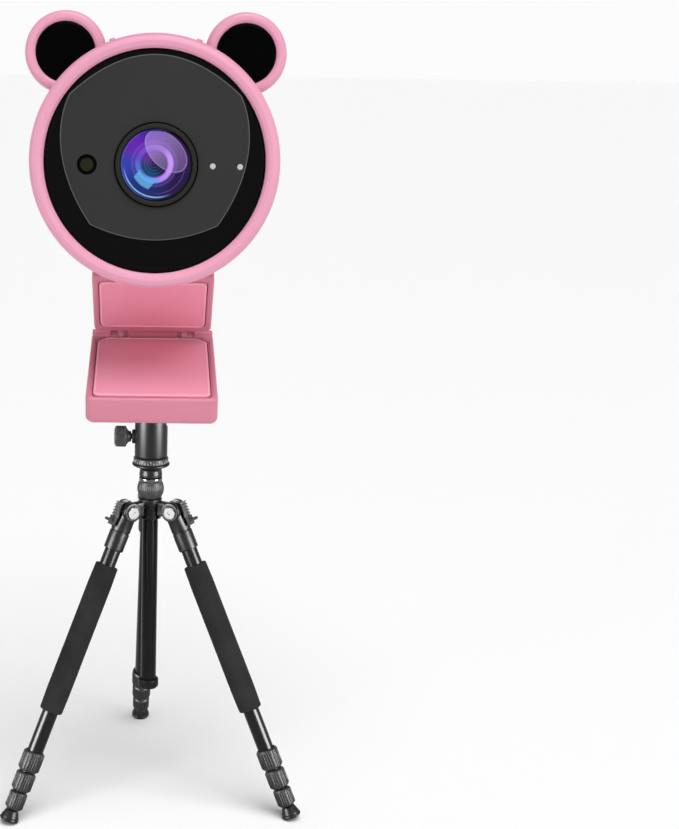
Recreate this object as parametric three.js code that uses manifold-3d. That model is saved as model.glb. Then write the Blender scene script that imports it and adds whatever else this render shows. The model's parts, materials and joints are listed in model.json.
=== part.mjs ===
// A round webcam with two ears, on a folding clip, screwed to a small three-legged stand
// with a ball head. Millimetres, +Z up. The webcam looks toward -Y. The origin is on the
// ground, under the middle of the whole object.

import * as THREE from 'three';
import { mergeVertices } from 'three/addons/utils/BufferGeometryUtils.js';
import Module from 'manifold-3d';

const wasm = await Module();
wasm.setup();

// ---- Driving dimensions: the stance ----
const PIVOT_HEIGHT = 84.7; // leg pivots above the ground
const PIVOT_RADIUS = 7.4; // leg pivots from the column's axis
const LEG_SPREAD = 24.6; // degrees from the vertical
const LEG_TURN = 3; // degrees that the legs stand turned under the head
const LEG_DIRECTIONS = { left: 210, right: 330, rear: 90 };
const BALL_HEIGHT = 108.5; // centre of the ball above the ground
const WEBCAM_TIP = 12; // degrees that the ball is tipped forward
const CLIP_OPENING = 56; // degrees between the clip's base and its leaf
const HEAD_UPTURN = 3.7; // degrees that the lens looks above the horizon

// ---- Driving dimensions: the stand ----
const SMALL_ROUND = 12; // sides of the leg parts
const ROUND = 20; // sides of the column and ball head parts
const TUBE = { outer: 2.25, bore: 1.97, end: 73.5 }; // upper leg tube, from the pivot
const INNER_SECTIONS = [
  { outer: 1.8, bore: 1.52, start: 16, end: 79.6 },
  { outer: 1.35, bore: 1.07, start: 19, end: 85.4 },
];
const ROD = { outer: 0.9, start: 22, end: 90.7 }; // last leg section, solid
const LOCKS = [
  { outer: 3.08, over: 2.45, start: 71.8, step: 74.0, end: 77.5 },
  { outer: 2.85, over: 1.97, start: 78.0, step: 80.0, end: 83.3 },
  { outer: 2.58, over: 1.52, start: 83.8, step: 85.8, end: 88.8 },
];
const GRIP = { outer: 3.35, bore: 2.45, start: 16.25, end: 59.8 };
const SOCKET = { radius: 2.8, seam: 6.15, end: 11.6, slot: 3.0, slotDepth: 2.6 };
const FOOT = { top: 1.85, sole: 2.75, start: 89.3, end: 92.3, socket: 1.05 };
const BOLT = { radius: 0.8, cap: 1.45, reach: 3.35, under: 2.95 };
const COLUMN = { outer: 2.2, bore: 1.7, bottom: 33.4, top: 96 };
const CROWN = { bottom: 81.6, top: 87.4, radius: 3.1, bore: 2.42, tongue: 2.4 };
const HOUSING = { radius: 4.57, bottom: 99.65, top: 110.3 };
const BALL_RADIUS = 3.6;
const SEAT_RADIUS = 3.8;
const KNOB_HEIGHT = 105.1;
const PLATFORM_TOP = 10.1; // above the ball's centre

// ---- Driving dimensions: the webcam ----
const WIDE_ROUND = 40; // sides of the head's shells
const EAR_ROUND = 24;
const BASE = { width: 34.7, front: -22, back: 23.5, bottom: 10.4, thick: 7.55, corner: 1.9 };
const BASE_TOP = BASE.bottom + BASE.thick;
const CLIP_HINGE = { y: 21.5, z: BASE_TOP + 0.4, knuckle: 1.9, half: 6.6, pin: 0.8 };
const LEAF = { width: 33, thick: 3.5, start: 3.8, end: 30, corner: 2.0 };
const SWIVEL = { back: 2.5, boss: 3.2, tilt: 39.1, knuckle: 2.6, half: 2.9 };
const HEAD_PIVOT = { back: 15.9, below: 21.4 }; // from the middle of the ring's front
const RING = { outer: 31.9, inner: 28.1, depth: 5.0 };
const PANEL = { radius: 27.8, front: 1.5, back: 2.9 };
const EAR = { distance: 35.5, angle: 40, radius: 10.4, pad: 7.3, front: 5.6, back: 12.0 };
const LENS = { x: 0.4, z: -0.7, bezel: 10.65, glass: 8.3, hole: 9.0 };
const WINDOW = { x: -17.1, z: -0.8, radius: 2.15 };

const radians = THREE.MathUtils.degToRad;

// ---- Materials ----
function coated(color, roughness, metalness = 0) {
  return new THREE.MeshStandardMaterial({ color, roughness, metalness });
}

const PINK = coated(0xe98fae, 0.42);
const SALMON = coated(0xe8819b, 0.45);
const GLOSS_BLACK = coated(0x111112, 0.1);
const MASK_GREY = coated(0x3b3b3d, 0.2);
const SATIN_BLACK = coated(0x1b1b1c, 0.38, 0.3);
const ANODISED = coated(0x101011, 0.22, 0.7);
const FOAM = coated(0x2c2c2d, 0.9);
const RUBBER = coated(0x1c1c1c, 0.75);
const STEEL = coated(0xc6c8ca, 0.25, 1);
const BRASS = coated(0xb8985a, 0.35, 1);
const GLASS = coated(0x2a2440, 0.05);
const BOARD = coated(0x1d5a37, 0.5);

// ---- Geometry helpers ----
function toSolid(geometry) {
  const bare = geometry.clone();
  bare.deleteAttribute('normal');
  bare.deleteAttribute('uv');
  const merged = mergeVertices(bare);
  const corners = merged.index.array;
  const kept = [];
  for (let i = 0; i < corners.length; i += 3) {
    const [a, b, c] = corners.slice(i, i + 3);
    if (a !== b && b !== c && c !== a) {
      kept.push(a, b, c);
    }
  }
  return new wasm.Manifold(new wasm.Mesh({
    numProp: 3,
    vertProperties: Float32Array.from(merged.attributes.position.array),
    triVerts: Uint32Array.from(kept),
  }));
}

function toGeometry(solid) {
  const mesh = solid.getMesh();
  const geometry = new THREE.BufferGeometry();
  geometry.setAttribute('position', new THREE.BufferAttribute(mesh.vertProperties, 3));
  geometry.setIndex(new THREE.BufferAttribute(mesh.triVerts, 1));
  geometry.computeVertexNormals();
  return geometry;
}

function join(...geometries) {
  const solids = geometries.map(toSolid);
  return toGeometry(solids.reduce((whole, next) => whole.add(next)));
}

function cut(body, ...tools) {
  const solids = tools.map(toSolid);
  return toGeometry(solids.reduce((whole, next) => whole.subtract(next), toSolid(body)));
}

// A turned shape: profile is [radius, height] pairs, from the bottom up.
function turned(profile, sides, axis = 'z') {
  const points = profile.map(([radius, height]) => new THREE.Vector2(radius, height));
  const geometry = new THREE.LatheGeometry(points, sides);
  if (axis === 'z') {
    geometry.rotateX(Math.PI / 2);
  }
  if (axis === 'x') {
    geometry.rotateZ(-Math.PI / 2);
  }
  return geometry;
}

// A turned shape with a hole through it: the profile closes on itself.
function ring(profile, sides, axis = 'z') {
  return turned([...profile, profile[0]], sides, axis);
}

function rod(radius, from, to, sides, axis = 'z') {
  return turned([[0, from], [radius, from], [radius, to], [0, to]], sides, axis);
}

function pipe(outer, bore, from, to, sides, axis = 'z') {
  return ring([[bore, from], [outer, from], [outer, to], [bore, to]], sides, axis);
}

function block(x0, x1, y0, y1, z0, z1) {
  const geometry = new THREE.BoxGeometry(x1 - x0, y1 - y0, z1 - z0);
  return geometry.translate((x0 + x1) / 2, (y0 + y1) / 2, (z0 + z1) / 2);
}

function roundedRectangle(x0, x1, y0, y1, radius) {
  const shape = new THREE.Shape();
  shape.absarc(x1 - radius, y0 + radius, radius, -Math.PI / 2, 0);
  shape.absarc(x1 - radius, y1 - radius, radius, 0, Math.PI / 2);
  shape.absarc(x0 + radius, y1 - radius, radius, Math.PI / 2, Math.PI);
  shape.absarc(x0 + radius, y0 + radius, radius, Math.PI, Math.PI * 1.5);
  shape.closePath();
  return shape;
}

// A plate with rounded corners and edges, its outline in X and Y, its thickness along Z.
function plate(shape, from, to, edge, cornerSteps = 3) {
  return new THREE.ExtrudeGeometry(shape, {
    depth: to - from - 2 * edge,
    bevelEnabled: edge > 0,
    bevelThickness: edge,
    bevelSize: edge,
    bevelOffset: -edge,
    bevelSegments: 2,
    curveSegments: cornerSteps,
  }).translate(0, 0, from + edge);
}

function piece(name, geometry, material) {
  const mesh = new THREE.Mesh(geometry, material);
  mesh.name = name;
  return mesh;
}

// ---- Legs: the pivot is at the origin, the leg runs along -Z, outward is +X ----
function legSocketAndTube() {
  const { radius, seam, end, slot, slotDepth } = SOCKET;
  const barrel = turned([
    [0, -14], [TUBE.bore, -14], [TUBE.bore, -TUBE.end], [TUBE.outer, -TUBE.end],
    [TUBE.outer, -end], [radius, -end], [radius, -seam - 0.25], [radius - 0.2, -seam - 0.2],
    [radius - 0.2, -seam], [radius, -seam], [radius, 0], [0, 0],
  ], SMALL_ROUND);
  const head = rod(radius, -radius, radius, ROUND, 'y');
  const fork = block(-4, 4, -slot / 2, slot / 2, -slotDepth, 4);
  const boltHole = rod(BOLT.radius + 0.25, -4, 4, SMALL_ROUND, 'y');
  return cut(join(barrel, head), fork, boltHole);
}

function angleStop() {
  const back = 3.05;
  const face = 4.2;
  const spine = block(back, face, -1.2, 1.2, -5.2, 1.6);
  const nose = block(2.3, back + 0.1, -1, 1, -0.8, 0.8);
  const tab = block(face - 0.1, 6.0, -0.9, 0.9, -4.3, -3.5);
  const grooves = [];
  for (let i = 0; i < 5; i += 1) {
    const z = 1.0 - i * 0.95;
    grooves.push(block(face - 0.35, face + 1, -2, 2, z - 0.35, z));
  }
  return join(cut(join(spine, nose), ...grooves), tab);
}

function pivotBolt() {
  const { radius, cap, reach, under } = BOLT;
  return turned([
    [0, -reach], [cap, -reach], [cap, -under], [radius, -under],
    [radius, under], [cap, under], [cap, reach], [0, reach],
  ], SMALL_ROUND, 'y');
}

function twistLock(lock, bore) {
  const chamfer = 0.3;
  return ring([
    [bore, -lock.end], [lock.outer - chamfer, -lock.end], [lock.outer, -lock.end + chamfer],
    [lock.outer, -lock.start - chamfer], [lock.outer - chamfer, -lock.start],
    [lock.over, -lock.start], [lock.over, -lock.step], [bore, -lock.step],
  ], SMALL_ROUND);
}

function footSocketMatrix() {
  const place = new THREE.Matrix4().makeTranslation(PIVOT_RADIUS, 0, PIVOT_HEIGHT);
  return place.multiply(new THREE.Matrix4().makeRotationY(-radians(LEG_SPREAD)));
}

// The sole is cut flat where it stands on the ground.
function foot() {
  const cone = turned([
    [0, -FOOT.end], [FOOT.sole - 0.2, -FOOT.end], [FOOT.sole, -FOOT.end + 0.3],
    [FOOT.top, -FOOT.start], [FOOT.socket, -FOOT.start], [FOOT.socket, -ROD.end - 0.3],
    [0, -ROD.end - 0.3],
  ], SMALL_ROUND);
  const reach = PIVOT_RADIUS + FOOT.end * Math.sin(radians(LEG_SPREAD));
  const ground = block(reach - 15, reach + 15, -15, 15, -10, 0);
  return cut(cone, ground.applyMatrix4(footSocketMatrix().invert()));
}

function gripSleeve() {
  const edge = 0.5;
  return ring([
    [GRIP.bore, -GRIP.end], [GRIP.outer - edge, -GRIP.end], [GRIP.outer, -GRIP.end + edge],
    [GRIP.outer, -GRIP.start - edge], [GRIP.outer - edge, -GRIP.start], [GRIP.bore, -GRIP.start],
  ], SMALL_ROUND);
}

function leg(side) {
  const tilted = new THREE.Group();
  tilted.rotation.y = -radians(LEG_SPREAD);
  tilted.add(piece(`leg_${side}_upper`, legSocketAndTube(), ANODISED));
  tilted.add(piece(`leg_${side}_angle_stop`, angleStop(), STEEL));
  tilted.add(piece(`leg_${side}_pivot_bolt`, pivotBolt(), STEEL));
  INNER_SECTIONS.forEach((section, i) => {
    const tube = pipe(section.outer, section.bore, -section.end, -section.start, SMALL_ROUND);
    tilted.add(piece(`leg_${side}_section_${i + 2}`, tube, ANODISED));
  });
  const last = rod(ROD.outer, -ROD.end, -ROD.start, SMALL_ROUND);
  tilted.add(piece(`leg_${side}_section_4`, last, ANODISED));
  const bores = [TUBE.bore, INNER_SECTIONS[0].bore, INNER_SECTIONS[1].bore];
  LOCKS.forEach((lock, i) => {
    tilted.add(piece(`leg_${side}_twist_lock_${i + 1}`, twistLock(lock, bores[i]), RUBBER));
  });
  tilted.add(piece(`leg_${side}_foot`, foot(), RUBBER));
  if (side !== 'rear') {
    tilted.add(piece(`leg_${side}_grip`, gripSleeve(), FOAM));
  }
  tilted.position.set(PIVOT_RADIUS, 0, PIVOT_HEIGHT);
  const turnedLeg = new THREE.Group();
  turnedLeg.rotation.z = radians(LEG_DIRECTIONS[side] + LEG_TURN);
  turnedLeg.add(tilted);
  return turnedLeg;
}

// ---- Crown, centre column and ball head: on the column's axis, heights from the ground ----
function crown() {
  const { bottom, top, radius, bore, tongue } = CROWN;
  const hub = ring([
    [bore, bottom], [radius, bottom], [radius, 85.2], [radius + 0.15, 85.5],
    [radius + 0.15, top], [bore, top],
  ], ROUND);
  const tongueEnd = 1.9;
  const arms = [];
  const holes = [];
  for (const direction of Object.values(LEG_DIRECTIONS)) {
    const turn = radians(direction + LEG_TURN);
    const bar = block(2.75, PIVOT_RADIUS, -tongue / 2, tongue / 2, -tongueEnd, tongueEnd);
    const end = rod(tongueEnd, -tongue / 2, tongue / 2, ROUND, 'y');
    const hole = rod(BOLT.radius + 0.2, -4, 4, SMALL_ROUND, 'y');
    arms.push(join(bar, end.translate(PIVOT_RADIUS, 0, 0)).translate(0, 0, PIVOT_HEIGHT).rotateZ(turn));
    holes.push(hole.translate(PIVOT_RADIUS, 0, PIVOT_HEIGHT).rotateZ(turn));
  }
  return cut(join(hub, ...arms), ...holes);
}

function columnLockCollar() {
  const bore = CROWN.bore;
  return ring([
    [bore, 87.8], [3.2, 87.8], [3.62, 88.8], [3.8, 90.2], [3.62, 91.6], [3.2, 92.5],
    [3.25, 92.6], [3.25, 93.5], [bore, 93.5],
  ], ROUND);
}

function columnEndCap() {
  return turned([
    [0, 30.4], [2.6, 30.4], [2.9, 30.7], [2.9, 33.1], [1.5, 33.1], [1.5, 36], [0, 36],
  ], ROUND);
}

// The neck, the flange and the ring with the turning scale, around the column's top.
function panBase() {
  return turned([
    [0, 96.3], [2.4, 96.3], [2.4, 93.8], [3.02, 93.8], [3.02, 96.1], [5.25, 97.1],
    [5.25, 97.6], [4.85, 97.8], [4.85, 99.35], [1.5, 99.35], [1.5, 101.5], [0, 101.5],
  ], ROUND);
}

function ballHousing() {
  const { radius, bottom, top } = HOUSING;
  const cup = turned([
    [0, 102], [1.7, 102], [1.7, bottom], [radius, bottom], [radius, top - 0.4],
    [radius - 0.3, top], [0, top],
  ], ROUND);
  const boss = rod(2.0, -5.2, -3.5, SMALL_ROUND, 'x').translate(0, 0, KNOB_HEIGHT);
  const seat = new THREE.SphereGeometry(SEAT_RADIUS, ROUND, 12).translate(0, 0, BALL_HEIGHT);
  const screwHole = rod(1.1, -6, -2.5, SMALL_ROUND, 'x').translate(0, 0, KNOB_HEIGHT);
  const notch = block(2.5, 5, -1.7, 1.7, BALL_HEIGHT - 0.5, top + 1);
  return cut(join(cup, boss), seat, screwHole, notch);
}

function clampKnob() {
  const knob = turned([
    [0, -10.2], [2.6, -10.2], [2.9, -9.9], [2.9, -7.0], [1.55, -5.5], [0.8, -5.5],
    [0.8, -3.0], [0, -3.0],
  ], ROUND, 'x');
  return knob.translate(0, 0, KNOB_HEIGHT);
}

function stand() {
  const group = new THREE.Group();
  const column = pipe(COLUMN.outer, COLUMN.bore, COLUMN.bottom, COLUMN.top, ROUND);
  const ball = new THREE.SphereGeometry(BALL_RADIUS, ROUND, 12).rotateX(Math.PI / 2);
  group.add(piece('crown', crown(), SATIN_BLACK));
  group.add(piece('column_lock_collar', columnLockCollar(), RUBBER));
  group.add(piece('centre_column', column, ANODISED));
  group.add(piece('column_end_cap', columnEndCap(), RUBBER));
  group.add(piece('pan_base', panBase(), SATIN_BLACK));
  group.add(piece('ball_housing', ballHousing(), SATIN_BLACK));
  group.add(piece('clamp_knob', clampKnob(), RUBBER));
  group.add(piece('tilt_ball', ball.translate(0, 0, BALL_HEIGHT), STEEL));
  for (const side of Object.keys(LEG_DIRECTIONS)) {
    group.add(leg(side));
  }
  return group;
}

// ---- Platform and clip base: the origin is the centre of the ball ----
function cameraPlatform() {
  const stem = turned([
    [0, 2.5], [1.4, 2.5], [1.4, 6.6], [2.2, 7.3], [4.4, 7.3], [4.6, 7.5], [4.6, PLATFORM_TOP],
    [1.6, PLATFORM_TOP], [1.6, 14.2], [0, 14.2],
  ], ROUND);
  return cut(stem, new THREE.SphereGeometry(SEAT_RADIUS, ROUND, 12));
}

function padOutline(gap) {
  return roundedRectangle(-15.4 - gap, 15.4 + gap, -20.4 - gap, 18.7 + gap, 2.2 + gap);
}

function baseBox() {
  const half = BASE.width / 2;
  const outline = roundedRectangle(-half, half, BASE.front, BASE.back, BASE.corner);
  const body = plate(outline, BASE.bottom, BASE_TOP, 0.7, 4);
  const { y, z, knuckle, half: reach, pin } = CLIP_HINGE;
  const lugs = [-1, 1].map((side) => {
    const lug = rod(knuckle, reach + 0.4, reach + 3.2, SMALL_ROUND, 'x').translate(0, y, z);
    return side > 0 ? lug : lug.rotateZ(Math.PI).translate(0, 2 * y, 0);
  });
  const pocket = plate(padOutline(0.3), BASE_TOP - 1.3, BASE_TOP + 2, 0);
  const notch = block(-reach - 0.4, reach + 0.4, y - 2.3, BASE.back + 1, z - 2.4, z + 3);
  const pinHole = rod(pin + 0.2, -12, 12, SMALL_ROUND, 'x').translate(0, y, z);
  const insertHole = rod(3.2, BASE.bottom - 1, BASE.bottom + 5.4, SMALL_ROUND);
  return cut(join(body, ...lugs), pocket, notch, pinHole, insertHole);
}

function clipBase() {
  const group = new THREE.Group();
  const pin = rod(CLIP_HINGE.pin, -9.6, 9.6, SMALL_ROUND, 'x');
  const insert = pipe(3.0, 1.8, BASE.bottom + 0.2, BASE.bottom + 5.1, SMALL_ROUND);
  group.add(piece('camera_platform', cameraPlatform(), SATIN_BLACK));
  group.add(piece('clip_base', baseBox(), SALMON));
  group.add(piece('clip_base_pad', plate(padOutline(0), BASE_TOP - 1.1, BASE_TOP + 0.3, 0.2), SALMON));
  group.add(piece('thread_insert', insert, BRASS));
  group.add(piece('clip_hinge_pin', pin.translate(0, CLIP_HINGE.y, CLIP_HINGE.z), STEEL));
  return group;
}

// ---- Clip leaf and swivel: the origin is on the hinge pin, +Z runs up the leaf,
// and -Y is the side that grips ----
function leafBody() {
  const half = LEAF.width / 2;
  const face = LEAF.thick / 2;
  const { knuckle, half: reach, pin } = CLIP_HINGE;
  const standing = (geometry) => geometry.rotateX(Math.PI / 2);
  const outline = roundedRectangle(-half, half, LEAF.start, LEAF.end, LEAF.corner);
  const body = standing(plate(outline, -face, face, 0.5, 4));
  const barrel = rod(knuckle, -reach, reach, SMALL_ROUND, 'x');
  const web = block(-reach, reach, -1.4, 1.4, 0, LEAF.start + 1);
  const boss = rod(SWIVEL.boss, LEAF.end - 8, LEAF.end, SMALL_ROUND).translate(0, SWIVEL.back, 0);
  const recess = roundedRectangle(-14.9, 14.9, 6.4, 28.2, 1.9);
  const pocket = standing(plate(recess, face - 0.8, face + 1, 0));
  const pinHole = rod(pin + 0.2, -12, 12, SMALL_ROUND, 'x');
  const swivelHole = rod(1.7, LEAF.end - 6, LEAF.end + 1, SMALL_ROUND).translate(0, SWIVEL.back, 0);
  return cut(join(body, barrel, web, boss), pocket, pinHole, swivelHole);
}

function leafPad() {
  const face = LEAF.thick / 2;
  const shape = roundedRectangle(-14.6, 14.6, 6.7, 27.9, 1.6);
  return plate(shape, face - 0.6, face + 0.3, 0.15).rotateX(Math.PI / 2);
}

function swivelPost() {
  const post = turned([
    [0, LEAF.end - 5.5], [1.4, LEAF.end - 5.5], [1.4, LEAF.end + 0.3], [2.6, LEAF.end + 0.3], [2.6, LEAF.end + 1.2],
    [1.8, LEAF.end + 1.8], [1.8, SWIVEL.tilt], [0, SWIVEL.tilt],
  ], SMALL_ROUND);
  const eye = rod(SWIVEL.knuckle, -SWIVEL.half, SWIVEL.half, SMALL_ROUND, 'x');
  const hole = rod(1.0, -5, 5, SMALL_ROUND, 'x').translate(0, 0, SWIVEL.tilt);
  return cut(join(post, eye.translate(0, 0, SWIVEL.tilt)), hole);
}

// ---- Head: the origin is the middle of the ring's front, +Y runs back ----
function earCentre(side) {
  const angle = radians(EAR.angle);
  return [side * EAR.distance * Math.sin(angle), EAR.distance * Math.cos(angle)];
}

function rearHousing() {
  const lugInner = SWIVEL.half + 0.3;
  const lugOuter = 5.6;
  const { back, below } = HEAD_PIVOT;
  const shell = turned([
    [0, RING.depth + 0.3], [31.2, RING.depth + 0.3], [31.0, 7.5], [29.0, 10], [25, 11.6],
    [19, 12.6], [0, 13.2],
  ], WIDE_ROUND, 'y');
  const cavity = turned([
    [0, 4], [29.6, 4], [29.6, 7.3], [27.8, 8.8], [24.4, 10.2], [19, 11.2], [0, 11.8],
  ], WIDE_ROUND, 'y');
  const added = [];
  const removed = [cavity, rod(1.0, -9, 9, SMALL_ROUND, 'x').translate(0, back, -below)];
  for (const side of [-1, 1]) {
    const [x, z] = earCentre(side);
    const ear = rod(EAR.radius, EAR.front, EAR.back, EAR_ROUND, 'y').translate(x, 0, z);
    const nub = block(-0.9, 0.9, 6.5, 9.5, 30, 32.9).rotateY(side * radians(20));
    const inner = Math.min(side * lugInner, side * lugOuter);
    const outer = Math.max(side * lugInner, side * lugOuter);
    const eye = rod(SWIVEL.knuckle, inner, outer, SMALL_ROUND, 'x').translate(0, back, -below);
    const arm = block(inner, outer, 11.4, back, -below - SWIVEL.knuckle, -below + SWIVEL.knuckle);
    added.push(ear, nub, eye, arm);
    removed.push(rod(EAR.pad + 0.3, EAR.front - 1, EAR.front + 1.3, EAR_ROUND, 'y').translate(x, 0, z));
  }
  const gland = turned([[0, 12], [2.4, 12], [2.1, 15.2], [1.7, 15.6], [0, 15.6]], SMALL_ROUND, 'y');
  return cut(join(shell, ...added, gland.translate(0, 0, -6)), ...removed);
}

function earPad(side) {
  const [x, z] = earCentre(side);
  return rod(EAR.pad, EAR.front + 0.3, EAR.front + 1.1, EAR_ROUND, 'y').translate(x, 0, z);
}

function frontRing() {
  const { outer, inner, depth } = RING;
  return ring([
    [inner, 1.2], [inner + 0.7, 0.35], [inner + 1.8, 0], [outer - 0.8, 0.5], [outer - 0.2, 1.6],
    [outer, 3.0], [outer, depth], [inner, depth],
  ], WIDE_ROUND, 'y');
}

function frontPanel() {
  const hole = rod(LENS.hole, 0, 5, ROUND, 'y').translate(LENS.x, 0, LENS.z);
  return cut(rod(PANEL.radius, PANEL.front, PANEL.back, WIDE_ROUND, 'y'), hole);
}

// A shield: a flat curved brow, bowed sides that narrow below, and a shallow curved chin.
function maskPanel() {
  const shape = new THREE.Shape();
  shape.moveTo(-21.5, 16.6);
  shape.quadraticCurveTo(0, 36.4, 21.5, 16.6);
  shape.bezierCurveTo(25.4, 8.6, 24.8, -3.4, 16.2, -15.8);
  shape.quadraticCurveTo(0, -23.4, -16.2, -15.8);
  shape.bezierCurveTo(-24.8, -3.4, -25.4, 8.6, -21.5, 16.6);
  const sheet = new THREE.ExtrudeGeometry(shape, { depth: 0.35, bevelEnabled: false, curveSegments: 8 });
  const lensHole = rod(LENS.hole, 0, 3, ROUND, 'y').translate(LENS.x, 0, LENS.z);
  const windowHole = rod(WINDOW.radius + 0.2, 0, 3, SMALL_ROUND, 'y').translate(WINDOW.x, 0, WINDOW.z);
  return cut(sheet.rotateX(Math.PI / 2).translate(0, 1.35, 0), lensHole, windowHole);
}

function lensBezel() {
  const { bezel, glass } = LENS;
  return ring([
    [glass + 0.2, 0.3], [9.2, -0.1], [10.2, 0.1], [bezel, 0.6], [bezel, 0.85], [glass + 0.2, 0.85],
  ], EAR_ROUND, 'y');
}

function lensGlass() {
  const { glass } = LENS;
  return turned([[0, -0.5], [3, -0.4], [6, -0.05], [glass, 0.5], [glass, 1.2], [0, 1.2]], EAR_ROUND, 'y');
}

function lensBarrel() {
  return turned([[0, 4.0], [6.4, 4.0], [7.8, 1.5], [8.7, 1.5], [8.7, 9.4], [0, 9.4]], ROUND, 'y');
}

function head() {
  const group = new THREE.Group();
  group.add(piece('rear_housing', rearHousing(), PINK));
  group.add(piece('front_ring', frontRing(), PINK));
  group.add(piece('front_panel', frontPanel(), GLOSS_BLACK));
  group.add(piece('mask_panel', maskPanel(), MASK_GREY));
  group.add(piece('ear_pad_left', earPad(-1), GLOSS_BLACK));
  group.add(piece('ear_pad_right', earPad(1), GLOSS_BLACK));
  const window = rod(WINDOW.radius, 0.75, 1.25, SMALL_ROUND, 'y').translate(WINDOW.x, 0, WINDOW.z);
  group.add(piece('light_sensor_window', window, GLOSS_BLACK));
  const lens = new THREE.Group();
  lens.position.set(LENS.x, 0, LENS.z);
  lens.add(piece('lens_bezel', lensBezel(), MASK_GREY));
  lens.add(piece('lens_glass', lensGlass(), GLASS));
  lens.add(piece('lens_barrel', lensBarrel(), SATIN_BLACK));
  group.add(lens);
  group.add(piece('main_board', rod(18, 9.8, 10.8, ROUND, 'y'), BOARD));
  group.position.set(0, -HEAD_PIVOT.back, HEAD_PIVOT.below);
  return group;
}

function webcam() {
  const tilting = new THREE.Group();
  tilting.position.set(0, SWIVEL.back, SWIVEL.tilt);
  tilting.rotation.x = -radians(WEBCAM_TIP + 90 - CLIP_OPENING + HEAD_UPTURN);
  tilting.add(head());
  const leaf = new THREE.Group();
  leaf.position.set(0, CLIP_HINGE.y, CLIP_HINGE.z);
  leaf.rotation.x = radians(90 - CLIP_OPENING);
  leaf.add(piece('clip_leaf', leafBody(), SALMON));
  leaf.add(piece('clip_leaf_pad', leafPad(), SALMON));
  leaf.add(piece('swivel_post', swivelPost().translate(0, SWIVEL.back, 0), SALMON));
  const tiltPin = rod(0.8, -5.9, 5.9, SMALL_ROUND, 'x').translate(0, SWIVEL.back, SWIVEL.tilt);
  leaf.add(piece('tilt_pin', tiltPin, STEEL));
  leaf.add(tilting);
  const group = clipBase();
  group.add(leaf);
  group.position.set(0, 0, BALL_HEIGHT);
  group.rotation.x = radians(WEBCAM_TIP);
  return group;
}

const webcamOnTripod = new THREE.Group();
webcamOnTripod.add(stand());
webcamOnTripod.add(webcam());

// The origin is on the ground, under the middle of the bounding box.
const middle = new THREE.Box3().setFromObject(webcamOnTripod, true).getCenter(new THREE.Vector3());
webcamOnTripod.position.set(-middle.x, -middle.y, 0);

export default webcamOnTripod;
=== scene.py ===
"""A round webcam with two ears on a padded folding clip, on a small tripod with a ball head."""

import json
import math

import bmesh
import bpy
from mathutils import Matrix, Vector


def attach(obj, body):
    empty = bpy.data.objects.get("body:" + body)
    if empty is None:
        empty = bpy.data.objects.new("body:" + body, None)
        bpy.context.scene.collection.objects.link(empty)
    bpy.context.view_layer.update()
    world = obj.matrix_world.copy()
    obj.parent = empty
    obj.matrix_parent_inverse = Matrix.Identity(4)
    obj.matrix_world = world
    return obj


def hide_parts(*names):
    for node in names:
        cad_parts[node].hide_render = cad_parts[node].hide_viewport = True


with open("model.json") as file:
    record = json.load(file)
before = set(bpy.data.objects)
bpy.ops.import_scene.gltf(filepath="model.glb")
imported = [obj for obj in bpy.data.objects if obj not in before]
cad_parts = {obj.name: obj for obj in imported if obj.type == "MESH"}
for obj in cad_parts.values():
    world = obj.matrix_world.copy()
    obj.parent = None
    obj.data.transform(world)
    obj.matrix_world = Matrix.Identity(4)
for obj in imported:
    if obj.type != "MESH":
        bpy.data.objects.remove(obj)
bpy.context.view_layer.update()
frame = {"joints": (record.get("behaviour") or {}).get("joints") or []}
joints = {joint["name"]: joint for joint in frame["joints"]}

# ---- Driving sizes, in millimetres and degrees ----
MM = 0.001
LEG_NAMES = ("left", "right", "rear")
STAND_UP = Matrix.Rotation(math.radians(90), 4, "X")  # a flat plate's outline becomes upright
SIDES = 96  # flats round the column, the ball head and the head's shells
LEG_SIDES = 64  # flats round the legs and the other small round parts
HOLE_SIDES = 32
PIN_SIDES = 40
KNUCKLE_SIDES = 48
LENS_SIDES = 128
FULL_TURN = 2 * math.pi
SHARP_ANGLE = 32  # edges sharper than this stay sharp when shaded
BEVEL_ANGLE = 38

HEAD_UPTURN = 3.7
HEAD_PIVOT = (15.9, 21.4)  # the tilt pin behind and below the middle of the ring's front
GLASS_RADIUS = 9.1
LENS_HOLE_RADIUS = 9.0
LENS_MIDDLE = (0.4, -0.7)  # right of and above the head's middle
WINDOW_MIDDLE = (-17.1, -0.8)
INDICATORS = ((14.7, -0.9), (21.6, -1.0))
EAR_DISTANCE = 35.5
EAR_ANGLE = 40
SCREW_CIRCLE = 21.5  # the housing screws' distance from the middle
SCREW_ANGLES = (45, 135, 225, 315)
GLAND_MIDDLE = (0, 0, -6)
EYE_RADIUS = 2.6  # the eyes that the tilt pin goes through
PIN_RADIUS = 0.8
PIN_HOLE_RADIUS = 1.0

SOCKET_RADIUS = 2.8
TUBE_RADIUS = 2.25
PIVOT_HEIGHT = 84.7
PIVOT_RADIUS = 7.4
LOCKS = (
    {"outer": 3.08, "over": 2.4, "bore": 1.88, "start": 71.8, "step": 74.0, "end": 77.5},
    {"outer": 2.85, "over": 1.9, "bore": 1.43, "start": 78.0, "step": 80.0, "end": 83.3},
    {"outer": 2.58, "over": 1.45, "bore": 0.98, "start": 83.8, "step": 85.8, "end": 88.8},
)
SECTIONS = (
    {"outer": 1.8, "start": 16.0, "end": 79.6},
    {"outer": 1.35, "start": 19.0, "end": 85.4},
    {"outer": 0.9, "start": 22.0, "end": 90.6},
)
LOCK_RIBS = 24
KNOB_RIBS = 26
COLLAR_RIBS = 44
PLATFORM_RIBS = 60

COLUMN_BORE = 2.42
KNOB_MIDDLE = (0, 0, 105.1)
BALL_MIDDLE = (0, 0, 108.5)
BALL_RADIUS = 3.6
SEAT_RADIUS = 3.8  # the hollows that the ball turns in

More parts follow.
